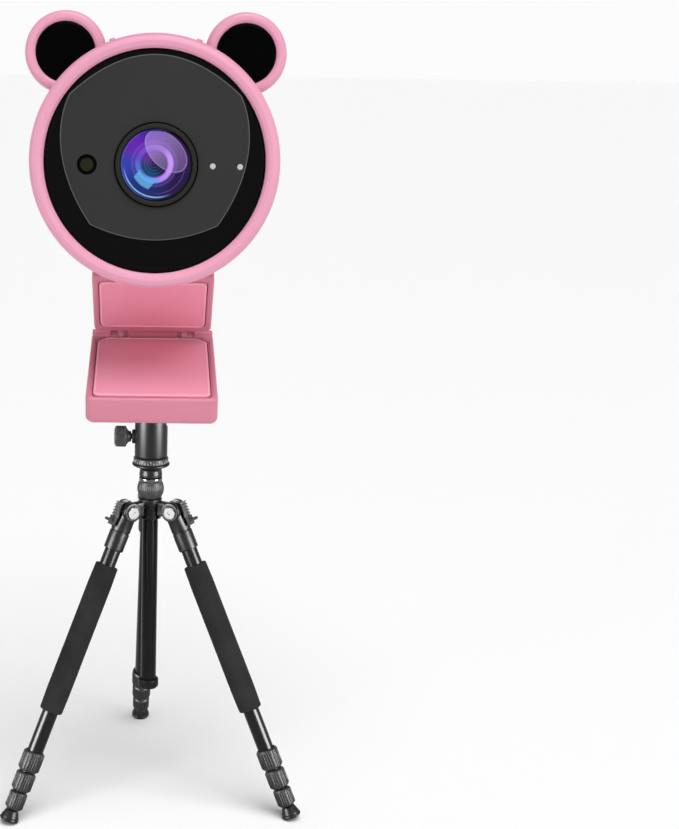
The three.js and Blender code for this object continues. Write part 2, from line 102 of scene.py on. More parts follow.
BASE_TOP = 17.95  # the clip base's top face above the ball's centre
BASE_BOTTOM = 10.4
BASE_WIDTH = 34.7
HINGE_Y = 21.5
HINGE_RISE = 0.4
LIP_RISE = 1.2
BASE_FRONT = -22.0
BASE_BACK = 23.5
PAD_BACK = 18.7
PAD_CHAMFER = 2.6
PAD_RISE = 0.35  # how far both pads stand out
KNUCKLE_RADIUS = 1.9
KNUCKLE_REACH = 6.85  # half the width of the leaf's knuckle
LEAF_FACE = 1.75
LEAF_START = 3.8
LEAF_END = 30.0
TILT_RISE = 39.1
SWIVEL_BACK = 2.5


# ---- Places: each sub-part is drawn in its own millimetres and carried to the frame ----
def place(origin, up, right):
    up = Vector(up).normalized()
    right = Vector(right)
    right = (right - up * right.dot(up)).normalized()
    turn = Matrix((right, up.cross(right), up)).transposed().to_4x4()
    return Matrix.Translation(Vector(origin)) @ turn @ Matrix.Scale(MM, 4)


def column_place():
    x, y, _ = joints["head_pan"]["pos_m"]
    return place((x, y, 0), (0, 0, 1), (1, 0, 0))


def ball_place():
    back = Vector(joints["ball_tilt_sideways"]["axis"])
    right = Vector((1, 0, 0))
    return place(joints["ball_tilt_fore_aft"]["pos_m"], right.cross(back), right)


def leaf_place():
    return place(joints["clip_open"]["pos_m"], joints["head_swivel"]["axis"], (1, 0, 0))


def head_place():
    upturn = math.radians(HEAD_UPTURN)
    back = Vector((0, math.cos(upturn), -math.sin(upturn)))
    up = Vector((0, math.sin(upturn), math.cos(upturn)))
    behind, below = HEAD_PIVOT
    middle = Vector(joints["head_tilt"]["pos_m"]) - back * behind * MM + up * below * MM
    return place(middle, up, (1, 0, 0))


def leg_place(side):
    """The leg's pivot: the leg runs along -Z and +X points away from the column."""
    pivot = Vector(joints[f"leg_{side}_spread"]["pos_m"])
    along = Vector(joints[f"leg_{side}_section_2_slide"]["axis"])
    outward = Vector((along.x, along.y, 0))
    return place(pivot, -along, outward)


# ---- Outlines and skins ----
def circle(radius, sides):
    """Points evenly round a circle, from +X."""
    turns = [FULL_TURN * i / sides for i in range(sides)]
    return [(radius * math.cos(turn), radius * math.sin(turn)) for turn in turns]


def filleted(points, steps=5, closed=False):
    """A line of (a, b, radius) points with each corner rounded by its radius."""
    count = len(points)
    rounded = []
    for i, (a, b, radius) in enumerate(points):
        corner = Vector((a, b))
        at_end = not closed and i in (0, count - 1)
        if radius <= 0 or at_end:
            rounded.append((a, b))
            continue
        before = Vector(points[i - 1][:2])
        after = Vector(points[(i + 1) % count][:2])
        into = before - corner
        out = after - corner
        half = into.angle(out) / 2
        reach = min(radius / max(math.tan(half), 0.05), into.length * 0.49, out.length * 0.49)
        start = corner + into.normalized() * reach
        end = corner + out.normalized() * reach
        for step in range(steps + 1):
            t = step / steps
            point = start * (1 - t) ** 2 + corner * 2 * t * (1 - t) + end * t ** 2
            rounded.append((point.x, point.y))
    return rounded


def inset(corners, depth):
    """A convex outline of (x, y, radius) corners after every edge moves in by depth."""
    count = len(corners)
    moved = []
    for i, (x, y, radius) in enumerate(corners):
        here = Vector((x, y))
        into = (here - Vector(corners[i - 1][:2])).normalized()
        out = (Vector(corners[(i + 1) % count][:2]) - here).normalized()
        first = Vector((-into.y, into.x))
        second = Vector((-out.y, out.x))
        point = here + (first + second) / (1 + first.dot(second)) * depth
        moved.append((point.x, point.y, max(radius - depth, 0.02)))
    return moved


def rectangle(left, right, front, back, radius):
    return [(left, front, radius), (right, front, radius),
            (right, back, radius), (left, back, radius)]


def lofted(rings, closed=False):
    """A skin through rings of equally many points. A ring of one point closes an end."""
    vertices = []
    starts = []
    for ring in rings:
        starts.append(len(vertices))
        vertices.extend(ring)
    faces = []
    pairs = list(zip(range(len(rings)), range(1, len(rings))))
    if closed:
        pairs.append((len(rings) - 1, 0))
    for low, high in pairs:
        sides = max(len(rings[low]), len(rings[high]))
        for i in range(sides):
            j = (i + 1) % sides
            if len(rings[low]) == 1:
                faces.append((starts[low], starts[high] + j, starts[high] + i))
            elif len(rings[high]) == 1:
                faces.append((starts[low] + i, starts[low] + j, starts[high]))
            else:
                faces.append((starts[low] + i, starts[low] + j, starts[high] + j, starts[high] + i))
    if not closed:
        if len(rings[0]) > 1:
            faces.append(tuple(range(len(rings[0]) - 1, -1, -1)))
        if len(rings[-1]) > 1:
            last = starts[-1]
            faces.append(tuple(range(last, last + len(rings[-1]))))
    return vertices, faces


def turned(profile, sides=SIDES, axis="z", closed=False, steps=5, middle=(0, 0, 0)):
    """A turned skin: profile is (radius, height, fillet) points along the axis."""
    rings = []
    mx, my, mz = middle
    for radius, height in filleted(profile, steps, closed):
        if radius < 1e-6:
            ring = [(0, 0, height)]
        else:
            ring = [(x, y, height) for x, y in circle(radius, sides)]
        if axis == "y":
            ring = [(x, z, -y) for x, y, z in ring]
        if axis == "x":
            ring = [(z, x, y) for x, y, z in ring]
        rings.append([(x + mx, y + my, z + mz) for x, y, z in ring])
    return lofted(rings, closed)


def rod(radius, start, end, sides=SIDES, axis="z", middle=(0, 0, 0), edge=0.0):
    """A solid cylinder with rounded edges."""
    profile = [(0, start, 0), (radius, start, edge), (radius, end, edge), (0, end, 0)]
    return turned(profile, sides, axis, middle=middle)


def sphere(radius, middle):
    bands = 32
    angles = [math.pi * i / bands for i in range(bands + 1)]
    profile = [(radius * math.sin(angle), -radius * math.cos(angle), 0) for angle in angles]
    profile[0] = (0, -radius, 0)
    profile[-1] = (0, radius, 0)
    return turned(profile, middle=middle)


def slab(corners, low, high, edge, steps=4, corner_steps=6, bottom_edge=None):
    """A plate between two heights with its outline's edges rounded."""
    rings = []
    for face, radius, inward in ((low, bottom_edge or edge, 1), (high, edge, -1)):
        rounding = []
        for step in range(steps + 1):
            angle = math.pi / 2 * step / steps
            outline = inset(corners, radius * (1 - math.sin(angle)))
            height = face + inward * radius * (1 - math.cos(angle))
            rounding.append([(x, y, height) for x, y in filleted(outline, corner_steps, True)])
        rings += rounding[::inward]
    return lofted(rings)


def cushion(corners, low, high, edge):
    """A pad with a rounded top edge and a slightly drawn-in bottom one."""
    profile = [(edge, low), (0.3 * edge, low + 0.1), (0, low + 0.3), (0, high - edge)]
    steps = 5
    for step in range(1, steps + 1):
        angle = math.pi / 2 * step / steps
        profile.append((edge * (1 - math.cos(angle)), high - edge * (1 - math.sin(angle))))
    rings = []
    for depth, height in profile:
        rings.append([(x, y, height) for x, y in filleted(inset(corners, depth), 8, True)])
    return lofted(rings)


def bead_strip(corners, height):
    """A thin raised strip that runs round a pad's top face, a little way in from its edge."""
    inner = 0.2
    outer = 0.6
    rise = 0.12
    slope = 0.05
    rings = []
    for depth, above in ((inner, -slope), (inner + slope, rise), (outer - slope, rise), (outer, -slope)):
        rings.append([(x, y, height + above) for x, y in filleted(inset(corners, depth), 8, True)])
    return lofted(rings, closed=True)


def moved(skin, turn):
    vertices, faces = skin
    return [tuple(turn @ Vector(v)) for v in vertices], faces


# ---- Pieces ----
def tidy_mesh(mesh):
    """Merges what coincides, turns the faces outwards and shades all but the sharp edges smooth."""
    shape = bmesh.new()
    shape.from_mesh(mesh)
    bmesh.ops.remove_doubles(shape, verts=shape.verts, dist=1e-7)
    bmesh.ops.dissolve_degenerate(shape, edges=shape.edges, dist=1e-8)
    bmesh.ops.recalc_face_normals(shape, faces=shape.faces)
    shape.to_mesh(mesh)
    shape.free()
    mesh.shade_smooth()
    mesh.set_sharp_from_angle(angle=math.radians(SHARP_ANGLE))


def shaped(name, skin, where):
    vertices, faces = skin
    mesh = bpy.data.meshes.new(name)
    mesh.from_pydata([where @ Vector(v) for v in vertices], [], faces)
    tidy_mesh(mesh)
    made = bpy.data.objects.new(name, mesh)
    bpy.context.collection.objects.link(made)
    return made


def applied(piece):
    """The piece's modifiers become part of its mesh."""
    graph = bpy.context.evaluated_depsgraph_get()
    mesh = bpy.data.meshes.new_from_object(piece.evaluated_get(graph))
    piece.modifiers.clear()
    old = piece.data
    piece.data = mesh
    mesh.name = old.name
    bpy.data.meshes.remove(old)


def carved(piece, cutters, operation="DIFFERENCE"):
    """Cuts or joins one shape at a time: a second boolean needs the first one's mesh merged."""
    for cutter in cutters:
        change = piece.modifiers.new("carve", "BOOLEAN")
        change.operation = operation
        change.solver = "EXACT"
        change.object = cutter
        applied(piece)
        bpy.data.objects.remove(cutter)
        tidy_mesh(piece.data)


def edged(piece, width, segments=2):
    """Rounds the piece's sharp edges."""
    bevel = piece.modifiers.new("edge", "BEVEL")
    bevel.width = width * MM
    bevel.segments = segments
    bevel.limit_method = "ANGLE"
    bevel.angle_limit = math.radians(BEVEL_ANGLE)
    applied(piece)
    tidy_mesh(piece.data)


def finished(piece, material, slot, body, *nodes):
    """Gives the piece its material and body, and the CAD nodes whose place it takes."""
    piece.data.materials.clear()
    piece.data.materials.append(material)
    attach(piece, body)
    if nodes:
        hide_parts(*nodes)
    if material in GLOSSY_FINISHES:
        GLOSSY.objects.link(piece)


def block(x0, x1, y0, y1, z0, z1, edge=0.0):
    """A box between three pairs of coordinates."""
    if edge:
        return slab(rectangle(x0, x1, y0, y1, edge), z0, z1, edge, 2, 2)
    corners = [(x0, y0), (x1, y0), (x1, y1), (x0, y1)]
    return lofted([[(x, y, z) for x, y in corners] for z in (z0, z1)])


def feed(tree, socket, value):
    """Links the socket to another one, or sets it."""
    value = getattr(value, "socket", value)
    if isinstance(value, bpy.types.NodeSocket):
        tree.links.new(value, socket)
    else:
        socket.default_value = value


# ---- Geometry Nodes: one shape repeated round an axis ----
class Tree:
    """A Geometry Nodes tree with named inputs, ending in Realize Instances and Set Material."""

    def __init__(self, name, inputs):
        self.group = bpy.data.node_groups.new(name, "GeometryNodeTree")
        self.sockets = {}
        for label, kind in inputs.items():
            socket = self.group.interface.new_socket(label, in_out="INPUT", socket_type=kind)
            self.sockets[label] = socket.identifier
        self.group.interface.new_socket("Geometry", in_out="OUTPUT", socket_type="NodeSocketGeometry")
        self.entry = self.group.nodes.new("NodeGroupInput")

    def given(self, label):
        return self.entry.outputs[label]

    def node(self, kind, settings=None, **values):
        node = self.group.nodes.new(kind)
        for key, value in (settings or {}).items():
            setattr(node, key, value)
        for key, value in values.items():
            feed(self.group, node.inputs[key.replace("_", " ")], value)
        return node

    def math(self, operation, *values):
        node = self.node("ShaderNodeMath", {"operation": operation})
        for socket, value in zip(node.inputs, values):
            feed(self.group, socket, value)
        return node.outputs[0]

    def end(self, instances):
        real = self.node("GeometryNodeRealizeInstances", Geometry=instances)
        painted = self.node("GeometryNodeSetMaterial", Geometry=real.outputs[0],
                            Material=self.given("Material"))
        out = self.group.nodes.new("NodeGroupOutput")
        self.group.links.new(painted.outputs[0], out.inputs["Geometry"])
        return self


def ring_tree():
    """Copies of a shape evenly round the Z axis of the place that the shape is drawn in."""
    tree = Tree("repeat round an axis", {
        "Shape": "NodeSocketObject", "Count": "NodeSocketInt", "Sweep": "NodeSocketFloat",
        "Material": "NodeSocketMaterial"})
    points = tree.node("GeometryNodeMeshLine", Count=tree.given("Count"), Offset=(0, 0, 0))
    index = tree.node("GeometryNodeInputIndex").outputs[0]
    share = tree.math("DIVIDE", index, tree.given("Count"))
    turn = tree.math("MULTIPLY", share, tree.given("Sweep"))
    spin = tree.node("ShaderNodeCombineXYZ", Z=turn)
    shape = tree.node("GeometryNodeObjectInfo", Object=tree.given("Shape"))
    copies = tree.node("GeometryNodeInstanceOnPoints", Points=points.outputs[0],
                       Instance=shape.outputs["Geometry"], Rotation=spin.outputs[0])
    return tree.end(copies.outputs[0])


RING = ring_tree()


def ringed(name, skin, where, material, count):
    """Repeats a shape all the way round its own Z axis and carries the ring to its place."""
    shape = shaped(name + "_one", skin, Matrix.Identity(4))
    holder = bpy.data.objects.new(name, bpy.data.meshes.new(name))
    bpy.context.collection.objects.link(holder)
    modifier = holder.modifiers.new("repeat", "NODES")
    modifier.node_group = RING.group
    inputs = {"Shape": shape, "Count": count, "Sweep": FULL_TURN, "Material": material}
    for label, value in inputs.items():
        modifier[RING.sockets[label]] = value
    applied(holder)
    holder.data.transform(where)
    tidy_mesh(holder.data)
    bpy.data.objects.remove(shape)
    return holder


# ---- Materials ----
# A Mix node has its sockets once for each kind of data. These are the ones for colours.
MIX_SHARE = 0
MIX_FIRST = 6
MIX_SECOND = 7
MIX_COLOR = 2


class Field:
    """A number that varies over a surface. Arithmetic on it adds Math nodes."""

    def __init__(self, finish, socket):
        self.finish = finish
        self.socket = socket

    def math(self, operation, *others):
        return self.finish.math(operation, self, *others)

    def __add__(self, other):
        return self.math("ADD", other)

    def __radd__(self, other):
        return self.math("ADD", other)

    def __sub__(self, other):
        return self.math("SUBTRACT", other)

    def __rsub__(self, other):
        return self.finish.math("SUBTRACT", other, self)

    def __mul__(self, other):
        return self.math("MULTIPLY", other)

    def __rmul__(self, other):
        return self.math("MULTIPLY", other)

    def __abs__(self):
        return self.math("ABSOLUTE")

    def root(self):
        return self.math("SQRT")

    def rise(self, low, high):
        """0 below low, 1 above high and smooth between them."""
        node = self.finish.node("ShaderNodeMapRange", {"interpolation_type": "SMOOTHSTEP"},
                                {"Value": self, "From Min": low, "From Max": high})
        return Field(self.finish, node.outputs["Result"])

    def fall(self, low, high):
        return 1 - self.rise(low, high)

    def band(self, low, high, soft):
        """1 between low and high, with soft edges."""
        return self.rise(low - soft, low + soft) * self.fall(high - soft, high + soft)


class Finish:
    """A material around one Principled shader."""

    def __init__(self, name, color, roughness, metallic=0.0, **constants):
        self.material = bpy.data.materials.new(name)
        self.material.use_nodes = True
        self.tree = self.material.node_tree
        self.tree.nodes.clear()
        self.shader = self.node("ShaderNodeBsdfPrincipled", {}, {
            "Base Color": (*color, 1), "Roughness": roughness, "Metallic": metallic})
        for label, value in constants.items():
            self.shader.inputs[label.replace("_", " ")].default_value = value
        output = self.node("ShaderNodeOutputMaterial", {}, {})
        self.tree.links.new(self.shader.outputs[0], output.inputs["Surface"])
        self.material.diffuse_color = (*color, 1)

    def node(self, kind, settings, values):
        node = self.tree.nodes.new(kind)
        for key, value in settings.items():
            if key == "stops":
                self.set_stops(node.color_ramp, value)
            else:
                setattr(node, key, value)
        for key, value in values.items():
            feed(self.tree, node.inputs[key], value)
        return node

    @staticmethod
    def set_stops(ramp, stops):
        while len(ramp.elements) < len(stops):
            ramp.elements.new(0.5)
        for element, (position, color) in zip(ramp.elements, stops):
            element.position = position
            element.color = (*color, 1)

    def math(self, operation, *values):
        node = self.node("ShaderNodeMath", {"operation": operation}, dict(enumerate(values)))
        return Field(self, node.outputs[0])

    def place(self):
        """The frame's coordinates, in metres."""
        return self.node("ShaderNodeTexCoord", {}, {}).outputs["Object"]

    def noise(self, scale, detail=3, roughness=0.5, stretch=None):
        where = self.place()
        if stretch:
            mapping = self.node("ShaderNodeMapping", {}, {"Vector": where, "Scale": stretch})
            where = mapping.outputs[0]
        node = self.node("ShaderNodeTexNoise", {}, {
            "Vector": where, "Scale": scale, "Detail": detail, "Roughness": roughness})
        return Field(self, node.outputs[0])

    def cells(self, scale, feature="F1"):
        node = self.node("ShaderNodeTexVoronoi", {"feature": feature},
                         {"Vector": self.place(), "Scale": scale})
        return Field(self, node.outputs["Distance"])

    def uv(self):
        """The piece's own flat coordinates."""
        parts = self.node("ShaderNodeSeparateXYZ", {}, {
            "Vector": self.node("ShaderNodeTexCoord", {}, {}).outputs["UV"]})
        return Field(self, parts.outputs[0]), Field(self, parts.outputs[1])

    def mixed(self, share, first, second):
        """Colour first where share is 0 and second where it is 1."""
        node = self.node("ShaderNodeMix", {"data_type": "RGBA"}, {
            MIX_SHARE: share, MIX_FIRST: opaque(first), MIX_SECOND: opaque(second)})
        return node.outputs[MIX_COLOR]

    def set(self, label, value):
        feed(self.tree, self.shader.inputs[label], value)

    def bump(self, height, depth):
        """Raises the surface by depth millimetres where height is 1."""
        node = self.node("ShaderNodeBump", {}, {"Height": height, "Distance": depth * MM})
        self.set("Normal", node.outputs[0])


def opaque(color):
    return (*color, 1) if isinstance(color, tuple) else color


def shade(color, factor):
    return tuple(min(channel * factor, 1) for channel in color)


def moulded_plastic(name, color, roughness):
    """Satin moulded plastic: a fine spark-eroded grain and faint flow marks."""
    finish = Finish(name, color, roughness, Specular_IOR_Level=0.35)
    flow = finish.noise(60, 2)
    fine = finish.noise(5200, 2)
    scuffs = finish.noise(900, 4, 0.6)
    finish.set("Base Color", finish.mixed(flow, shade(color, 0.965), shade(color, 1.03)))
    finish.set("Roughness", roughness - 0.05 + fine * 0.06 + scuffs.rise(0.55, 0.8) * 0.08)
    finish.bump(fine, 0.01)
    return finish.material


def soft_pad(name, color):
    """Soft rubber pad: matt, with a fine stipple."""
    finish = Finish(name, color, 0.55, Sheen_Weight=0.15)
    stipple = finish.cells(2600)
    dust = finish.noise(420, 4, 0.6)
    finish.set("Base Color", finish.mixed(dust, shade(color, 0.97), shade(color, 1.03)))
    finish.set("Roughness", 0.5 + dust * 0.12)
    finish.bump(stipple, 0.02)
    return finish.material


def gloss_panel(name, color, roughness, gloss=0.1):
    """Polished acrylic with a very faint haze of wiping marks."""
    finish = Finish(name, color, roughness, Specular_IOR_Level=gloss)
    wipes = finish.noise(160, 4, 0.6, (1, 1, 0.3))
    specks = finish.noise(2200, 2)
    finish.set("Roughness", roughness + wipes.rise(0.5, 0.8) * 0.05 + specks.rise(0.7, 0.8) * 0.05)
    finish.set("Base Color", finish.mixed(wipes, shade(color, 0.97), shade(color, 1.04)))
    return finish.material


def satin_coat(name, color, roughness):
    """Satin black coat over metal: fine orange peel and a little dust."""
    finish = Finish(name, color, roughness, Specular_IOR_Level=0.09)
    peel = finish.noise(1500, 2)
    dust = finish.noise(300, 5, 0.65)
    finish.set("Base Color", finish.mixed(dust.rise(0.45, 0.75), color, shade(color, 1.6)))
    finish.set("Roughness", roughness - 0.02 + dust * 0.04)
    finish.bump(peel, 0.003)
    return finish.material


def anodised(name):
    """Glossy black anodised tube with faint drawing lines along its length."""
    color = (0.0012, 0.0012, 0.0013)
    finish = Finish(name, color, 0.2, Specular_IOR_Level=0.08)
    lines = finish.noise(420, 3, 0.6, (6, 6, 0.5))
    wear = finish.noise(140, 5, 0.7)
    finish.set("Roughness", 0.22 + lines * 0.05 + wear.rise(0.6, 0.8) * 0.04)
    finish.set("Base Color", finish.mixed(wear.rise(0.55, 0.8), color, shade(color, 2.0)))
    finish.bump(lines, 0.002)
    return finish.material


def ribbed_rubber(name, color, roughness, gloss):
    """Moulded rubber with a fine grain and chalky wear."""
    finish = Finish(name, color, roughness, Specular_IOR_Level=gloss)
    fine = finish.noise(4200, 3)
    chalk = finish.noise(500, 5, 0.65)
    finish.set("Base Color", finish.mixed(chalk.rise(0.4, 0.75), color, shade(color, 1.5)))
    finish.set("Roughness", roughness - 0.06 + chalk * 0.14)
    finish.bump(fine, 0.02)
    return finish.material


def foam(name):
    """Closed-cell foam rubber: pores of two sizes, lighter where hands have rubbed it, and darker in the
    pores' pits as a painted shade.
    """
    color = (0.0235, 0.0235, 0.0245)
    finish = Finish(name, color, 0.9, Specular_IOR_Level=0.15)
    pores = finish.cells(2400)
    small = finish.cells(5200)
    rubbed = finish.noise(90, 5, 0.6)
    depth = pores.rise(0.1, 0.5) * 0.7 + small.rise(0.1, 0.5) * 0.3
    # The rubbed share is real wear. The depth share darkens the pores' pits, a painted shade.
    wear_and_pit_shade = rubbed.rise(0.35, 0.7) * 0.7 + depth * 0.3
    finish.set("Base Color", finish.mixed(wear_and_pit_shade, shade(color, 0.75), shade(color, 1.35)))
    finish.set("Roughness", 0.84 + depth * 0.1)
    finish.bump(depth, 0.09)
    return finish.material


def turned_metal(name, color, roughness):
    """Bare metal with fine turning lines and finger smudges."""
    finish = Finish(name, color, roughness, 1.0)
    brushed = finish.noise(900, 4, 0.7, (1, 1, 5))
    smudge = finish.noise(260, 4)
    finish.set("Roughness", roughness - 0.06 + brushed * 0.12 + smudge.rise(0.5, 0.8) * 0.1)
    finish.set("Base Color", finish.mixed(smudge, shade(color, 0.9), shade(color, 1.08)))
    finish.bump(brushed, 0.004)
    return finish.material


def circuit_board(name):
    """Green solder mask over a web of raised tracks."""
    finish = Finish(name, (0.012, 0.11, 0.045), 0.35, Coat_Weight=0.3)
    tracks = finish.cells(700, "DISTANCE_TO_EDGE").fall(0.02, 0.06)
    finish.set("Base Color", finish.mixed(tracks, (0.01, 0.09, 0.035), (0.03, 0.2, 0.08)))
    finish.bump(tracks, 0.02)
    return finish.material


def painted_lens_reflections(name):
    """The coated glass, its colours all painted reflections: a dark violet and blue sheen, an inner ring,
    the glints of two windows and bright arcs near the rim, all glowing faintly as a painted glow.
    """
    # The emission strength makes the painted reflections glow faintly: a painted glow, though the glass is
    # no lamp.
    finish = Finish(name, (0.02, 0.02, 0.1), 0.12, Specular_IOR_Level=0.08, Coat_Weight=0.12,
                    Coat_Roughness=0.03, Emission_Strength=0.04)
    x, y = finish.uv()
    far = (x * x + y * y).root()
    across = x * 0.5 + 0.5
    low_left = 0 - (x * 0.66 + y * 0.75)
    aside = x * 0.75 - y * 0.66
    inside = far.fall(0.9, 0.94)

    # Painted reflections of the coating: violet at the upper left, blue at the lower left, darker towards
    # the right, a blue band at the left and a blue-violet cap at the top.
    bottom = finish.mixed(across.rise(0.2, 0.8), (0.006, 0.022, 0.16), (0.012, 0.003, 0.05))
    top = finish.mixed(across.rise(0.2, 0.8), (0.10, 0.012, 0.34), (0.020, 0.002, 0.06))
    color = finish.mixed(y.rise(-0.4, 0.5), bottom, top)
    blue_side = (0 - x).rise(0.3, 0.9) * abs(y + 0.05).fall(0.1, 0.55)
    color = finish.mixed(blue_side * 0.85, color, (0.018, 0.042, 0.36))
    crown = y.rise(0.5, 0.9) * abs(x + 0.1).fall(0.15, 0.6)
    color = finish.mixed(crown * 0.8, color, (0.03, 0.016, 0.25))

    # Painted reflections of an inner ring, violet and blue, brighter towards the lower right, and a faint
    # violet halo outside it.
    near = ((x + 0.05) * (x + 0.05) + (y - 0.03) * (y - 0.03)).root()
    inner_ring_reflection_color = finish.mixed(across.rise(0.2, 0.7), (0.16, 0.09, 0.66), (0.50, 0.24, 0.85))
    inner_ring_reflection_color = finish.mixed(low_left.rise(0.15, 0.45), inner_ring_reflection_color, (0.10, 0.34, 0.85))
    inner_ring_reflection_share = near.band(0.38, 0.53, 0.04) * (0.4 + (x - y).rise(-0.35, 0.3) * 0.5)
    color = finish.mixed(inner_ring_reflection_share, color, inner_ring_reflection_color)
    halo = near.band(0.58, 0.64, 0.03) * 0.22
    color = finish.mixed(halo, color, (0.25, 0.12, 0.62))
    # The dark middle, tinted magenta at the upper left and teal at the lower left, with faint pale rings
    # over it: painted reflections too.
    pupil = finish.mixed((y - x).rise(0, 0.45), (0.003, 0.004, 0.03), (0.10, 0.012, 0.20))
    pupil = finish.mixed((low_left + 0.1).rise(0.1, 0.4), pupil, (0.001, 0.045, 0.12))
    color = finish.mixed(near.fall(0.33, 0.37), color, pupil)
    grooves = (near * 75).math("SINE").rise(0.6, 1.0) * near.fall(0.28, 0.34)
    color = finish.mixed(grooves * 0.2, color, (0.12, 0.16, 0.5))

    # A painted reflection of a window: a striped pale violet ellipse at the upper right, brighter towards
    # its upper left, with a brighter rim.
    along = (x - 0.27) * 0.72 - (y - 0.37) * 0.69
    over = (x - 0.27) * 0.69 + (y - 0.37) * 0.72
    glint = (along * along * 2.0 + over * over * 5.2).root()
    stripes = (y * 110).math("SINE") * 0.12 + 0.88
    fade = (y - x).rise(-0.9, 0.6) * 0.18 + 0.18
    color = finish.mixed(glint.fall(0.95, 1.0) * inside * stripes * fade, color, (0.50, 0.33, 0.78))
    color = finish.mixed(glint.band(0.95, 0.99, 0.02) * inside * 0.4, color, (0.50, 0.33, 0.78))
    # A painted reflection of a second window: a striped blue patch at the lower left.
    second_window_reflection = far.band(0.47, 0.70, 0.015) * abs(aside - 0.02).fall(0.25, 0.28) * low_left.rise(0, 0.1)
    color = finish.mixed(second_window_reflection * stripes * 0.72, color, (0.12, 0.42, 0.72))

    # Painted highlights near the glass's rim: a bright blue arc at the lower left, a faint violet one at the
    # right and a violet one at the left. The glass also darkens to near black round its rim, half as
    # strongly at the left.
    lower_left_rim_highlight = far.band(0.875, 0.91, 0.015) * (low_left + aside * 0.2).rise(0.45, 0.85)
    color = finish.mixed(lower_left_rim_highlight * 0.85, color, (0.25, 0.50, 0.82))
    left_arc = far.band(0.945, 0.965, 0.012) * (0 - x).rise(-0.1, 0.7)
    right_arc = far.band(0.78, 0.80, 0.012) * (x - y).rise(0.5, 1.0)
    color = finish.mixed(right_arc * 0.35, color, (0.22, 0.10, 0.45))
    edge = far.rise(0.92, 0.96) * (0.5 + x.rise(-0.8, 0.2) * 0.5)
    color = finish.mixed(edge, color, (0.002, 0.002, 0.006))
    color = finish.mixed(left_arc * 0.6, color, (0.14, 0.16, 0.55))
    finish.set("Base Color", color)
    # The emission takes the painted reflections' colours: a painted glow.
    finish.set("Emission Color", color)
    finish.set("Roughness", 0.08 + grooves * 0.08)
    return finish.material


PINK = moulded_plastic("pink shell", (0.72, 0.315, 0.44), 0.38)
SALMON = moulded_plastic("salmon clip", (0.63, 0.215, 0.30), 0.42)
PAD = soft_pad("salmon pad", (0.84, 0.29, 0.405))
# The bead's colour is a lighter copy of the pad's: a painted highlight along the pad's edge.
PAD_BEAD_HIGHLIGHT = soft_pad("pad bead", (0.95, 0.43, 0.54))
PANEL = gloss_panel("black panel", (0.0022, 0.002, 0.0022), 0.12, 0.05)
MASK = gloss_panel("charcoal print", (0.0295, 0.0295, 0.0295), 0.35, 0.08)
# A lighter grey for the mask's border: a painted highlight along the mask's edge.
MASK_EDGE_HIGHLIGHT = gloss_panel("charcoal print edge", (0.085, 0.09, 0.085), 0.35, 0.08)
BEZEL = gloss_panel("olive bezel", (0.021, 0.0215, 0.0175), 0.35, 0.06)
EAR_BLACK = gloss_panel("ear black", (0.0005, 0.0005, 0.0005), 0.35, 0.02)
DOT = gloss_panel("indicator grey", (0.46, 0.46, 0.46), 0.3)
WINDOW_DARK = gloss_panel("sensor rim", (0.001, 0.001, 0.001), 0.3, 0.02)
WINDOW_OLIVE = gloss_panel("sensor lens", (0.016, 0.018, 0.007), 0.2, 0.05)
LENS_PAINT = painted_lens_reflections("lens coating")
BARREL = satin_coat("lens barrel black", (0.004, 0.004, 0.005), 0.5)
COAT = satin_coat("satin black coat", (0.0012, 0.0012, 0.0013), 0.34)
TUBE = anodised("black anodised tube")
RUBBER = ribbed_rubber("ribbed rubber", (0.0032, 0.0032, 0.0033), 0.4, 0.09)
KNOB_RUBBER = ribbed_rubber("knob rubber", (0.0045, 0.0045, 0.0046), 0.4, 0.09)
SOLE = ribbed_rubber("foot rubber", (0.0018, 0.0018, 0.0018), 0.3, 0.05)
FOAM = foam("foam grip")
STEEL = turned_metal("bright steel", (0.78, 0.78, 0.79), 0.22)
STOP_STEEL = turned_metal("stop metal", (0.10, 0.10, 0.105), 0.35)
TOOTH_STEEL = turned_metal("tooth metal", (0.22, 0.22, 0.225), 0.3)
CHROME = turned_metal("polished ball", (0.82, 0.82, 0.84), 0.1)
BRASS = turned_metal("turned brass", (0.62, 0.42, 0.17), 0.3)
SCALE_BLACK = satin_coat("scale ring black", (0.006, 0.006, 0.006), 0.35)
SCALE_WHITE = gloss_panel("scale marks", (0.8, 0.8, 0.8), 0.4)
BLACK_CHROME = turned_metal("black chrome", (0.12, 0.12, 0.125), 0.12)
BOARD = circuit_board("circuit board")
GLOSSY_FINISHES = (COAT, TUBE, SCALE_BLACK, BLACK_CHROME, SOLE, RUBBER, KNOB_RUBBER)


# ---- Camera, floor and studio ----
TARGET_HEIGHT = 0.1114
VIEW_DISTANCE = 0.416667
VIEW_RISE = 13.3
VIEW_ROLL = 0.7
SENSOR_WIDTH = 36
FOCAL = 65.13872
SIDE_SHIFT = 0.226779  # keeps the object at the left of the picture
SKY_WHITE_TO = 0.25  # the sine of the height that the sky stays white up to
SKY_DIM_FROM = 0.5
SKY_WHITE = 0.97
SKY_DIM = 0.12
OVERHEAD = 2.55
OVERHEAD_SPREAD = 50  # degrees: a wide, soft sun
LEFT_STRIP = 0.6  # watts, as the next two
RIGHT_STRIP = 0.9
SHEEN = 50.0
FLOOR_COLOR = (0.975, 0.975, 0.975)
GLOSSY = bpy.data.collections.new("glossy black parts")


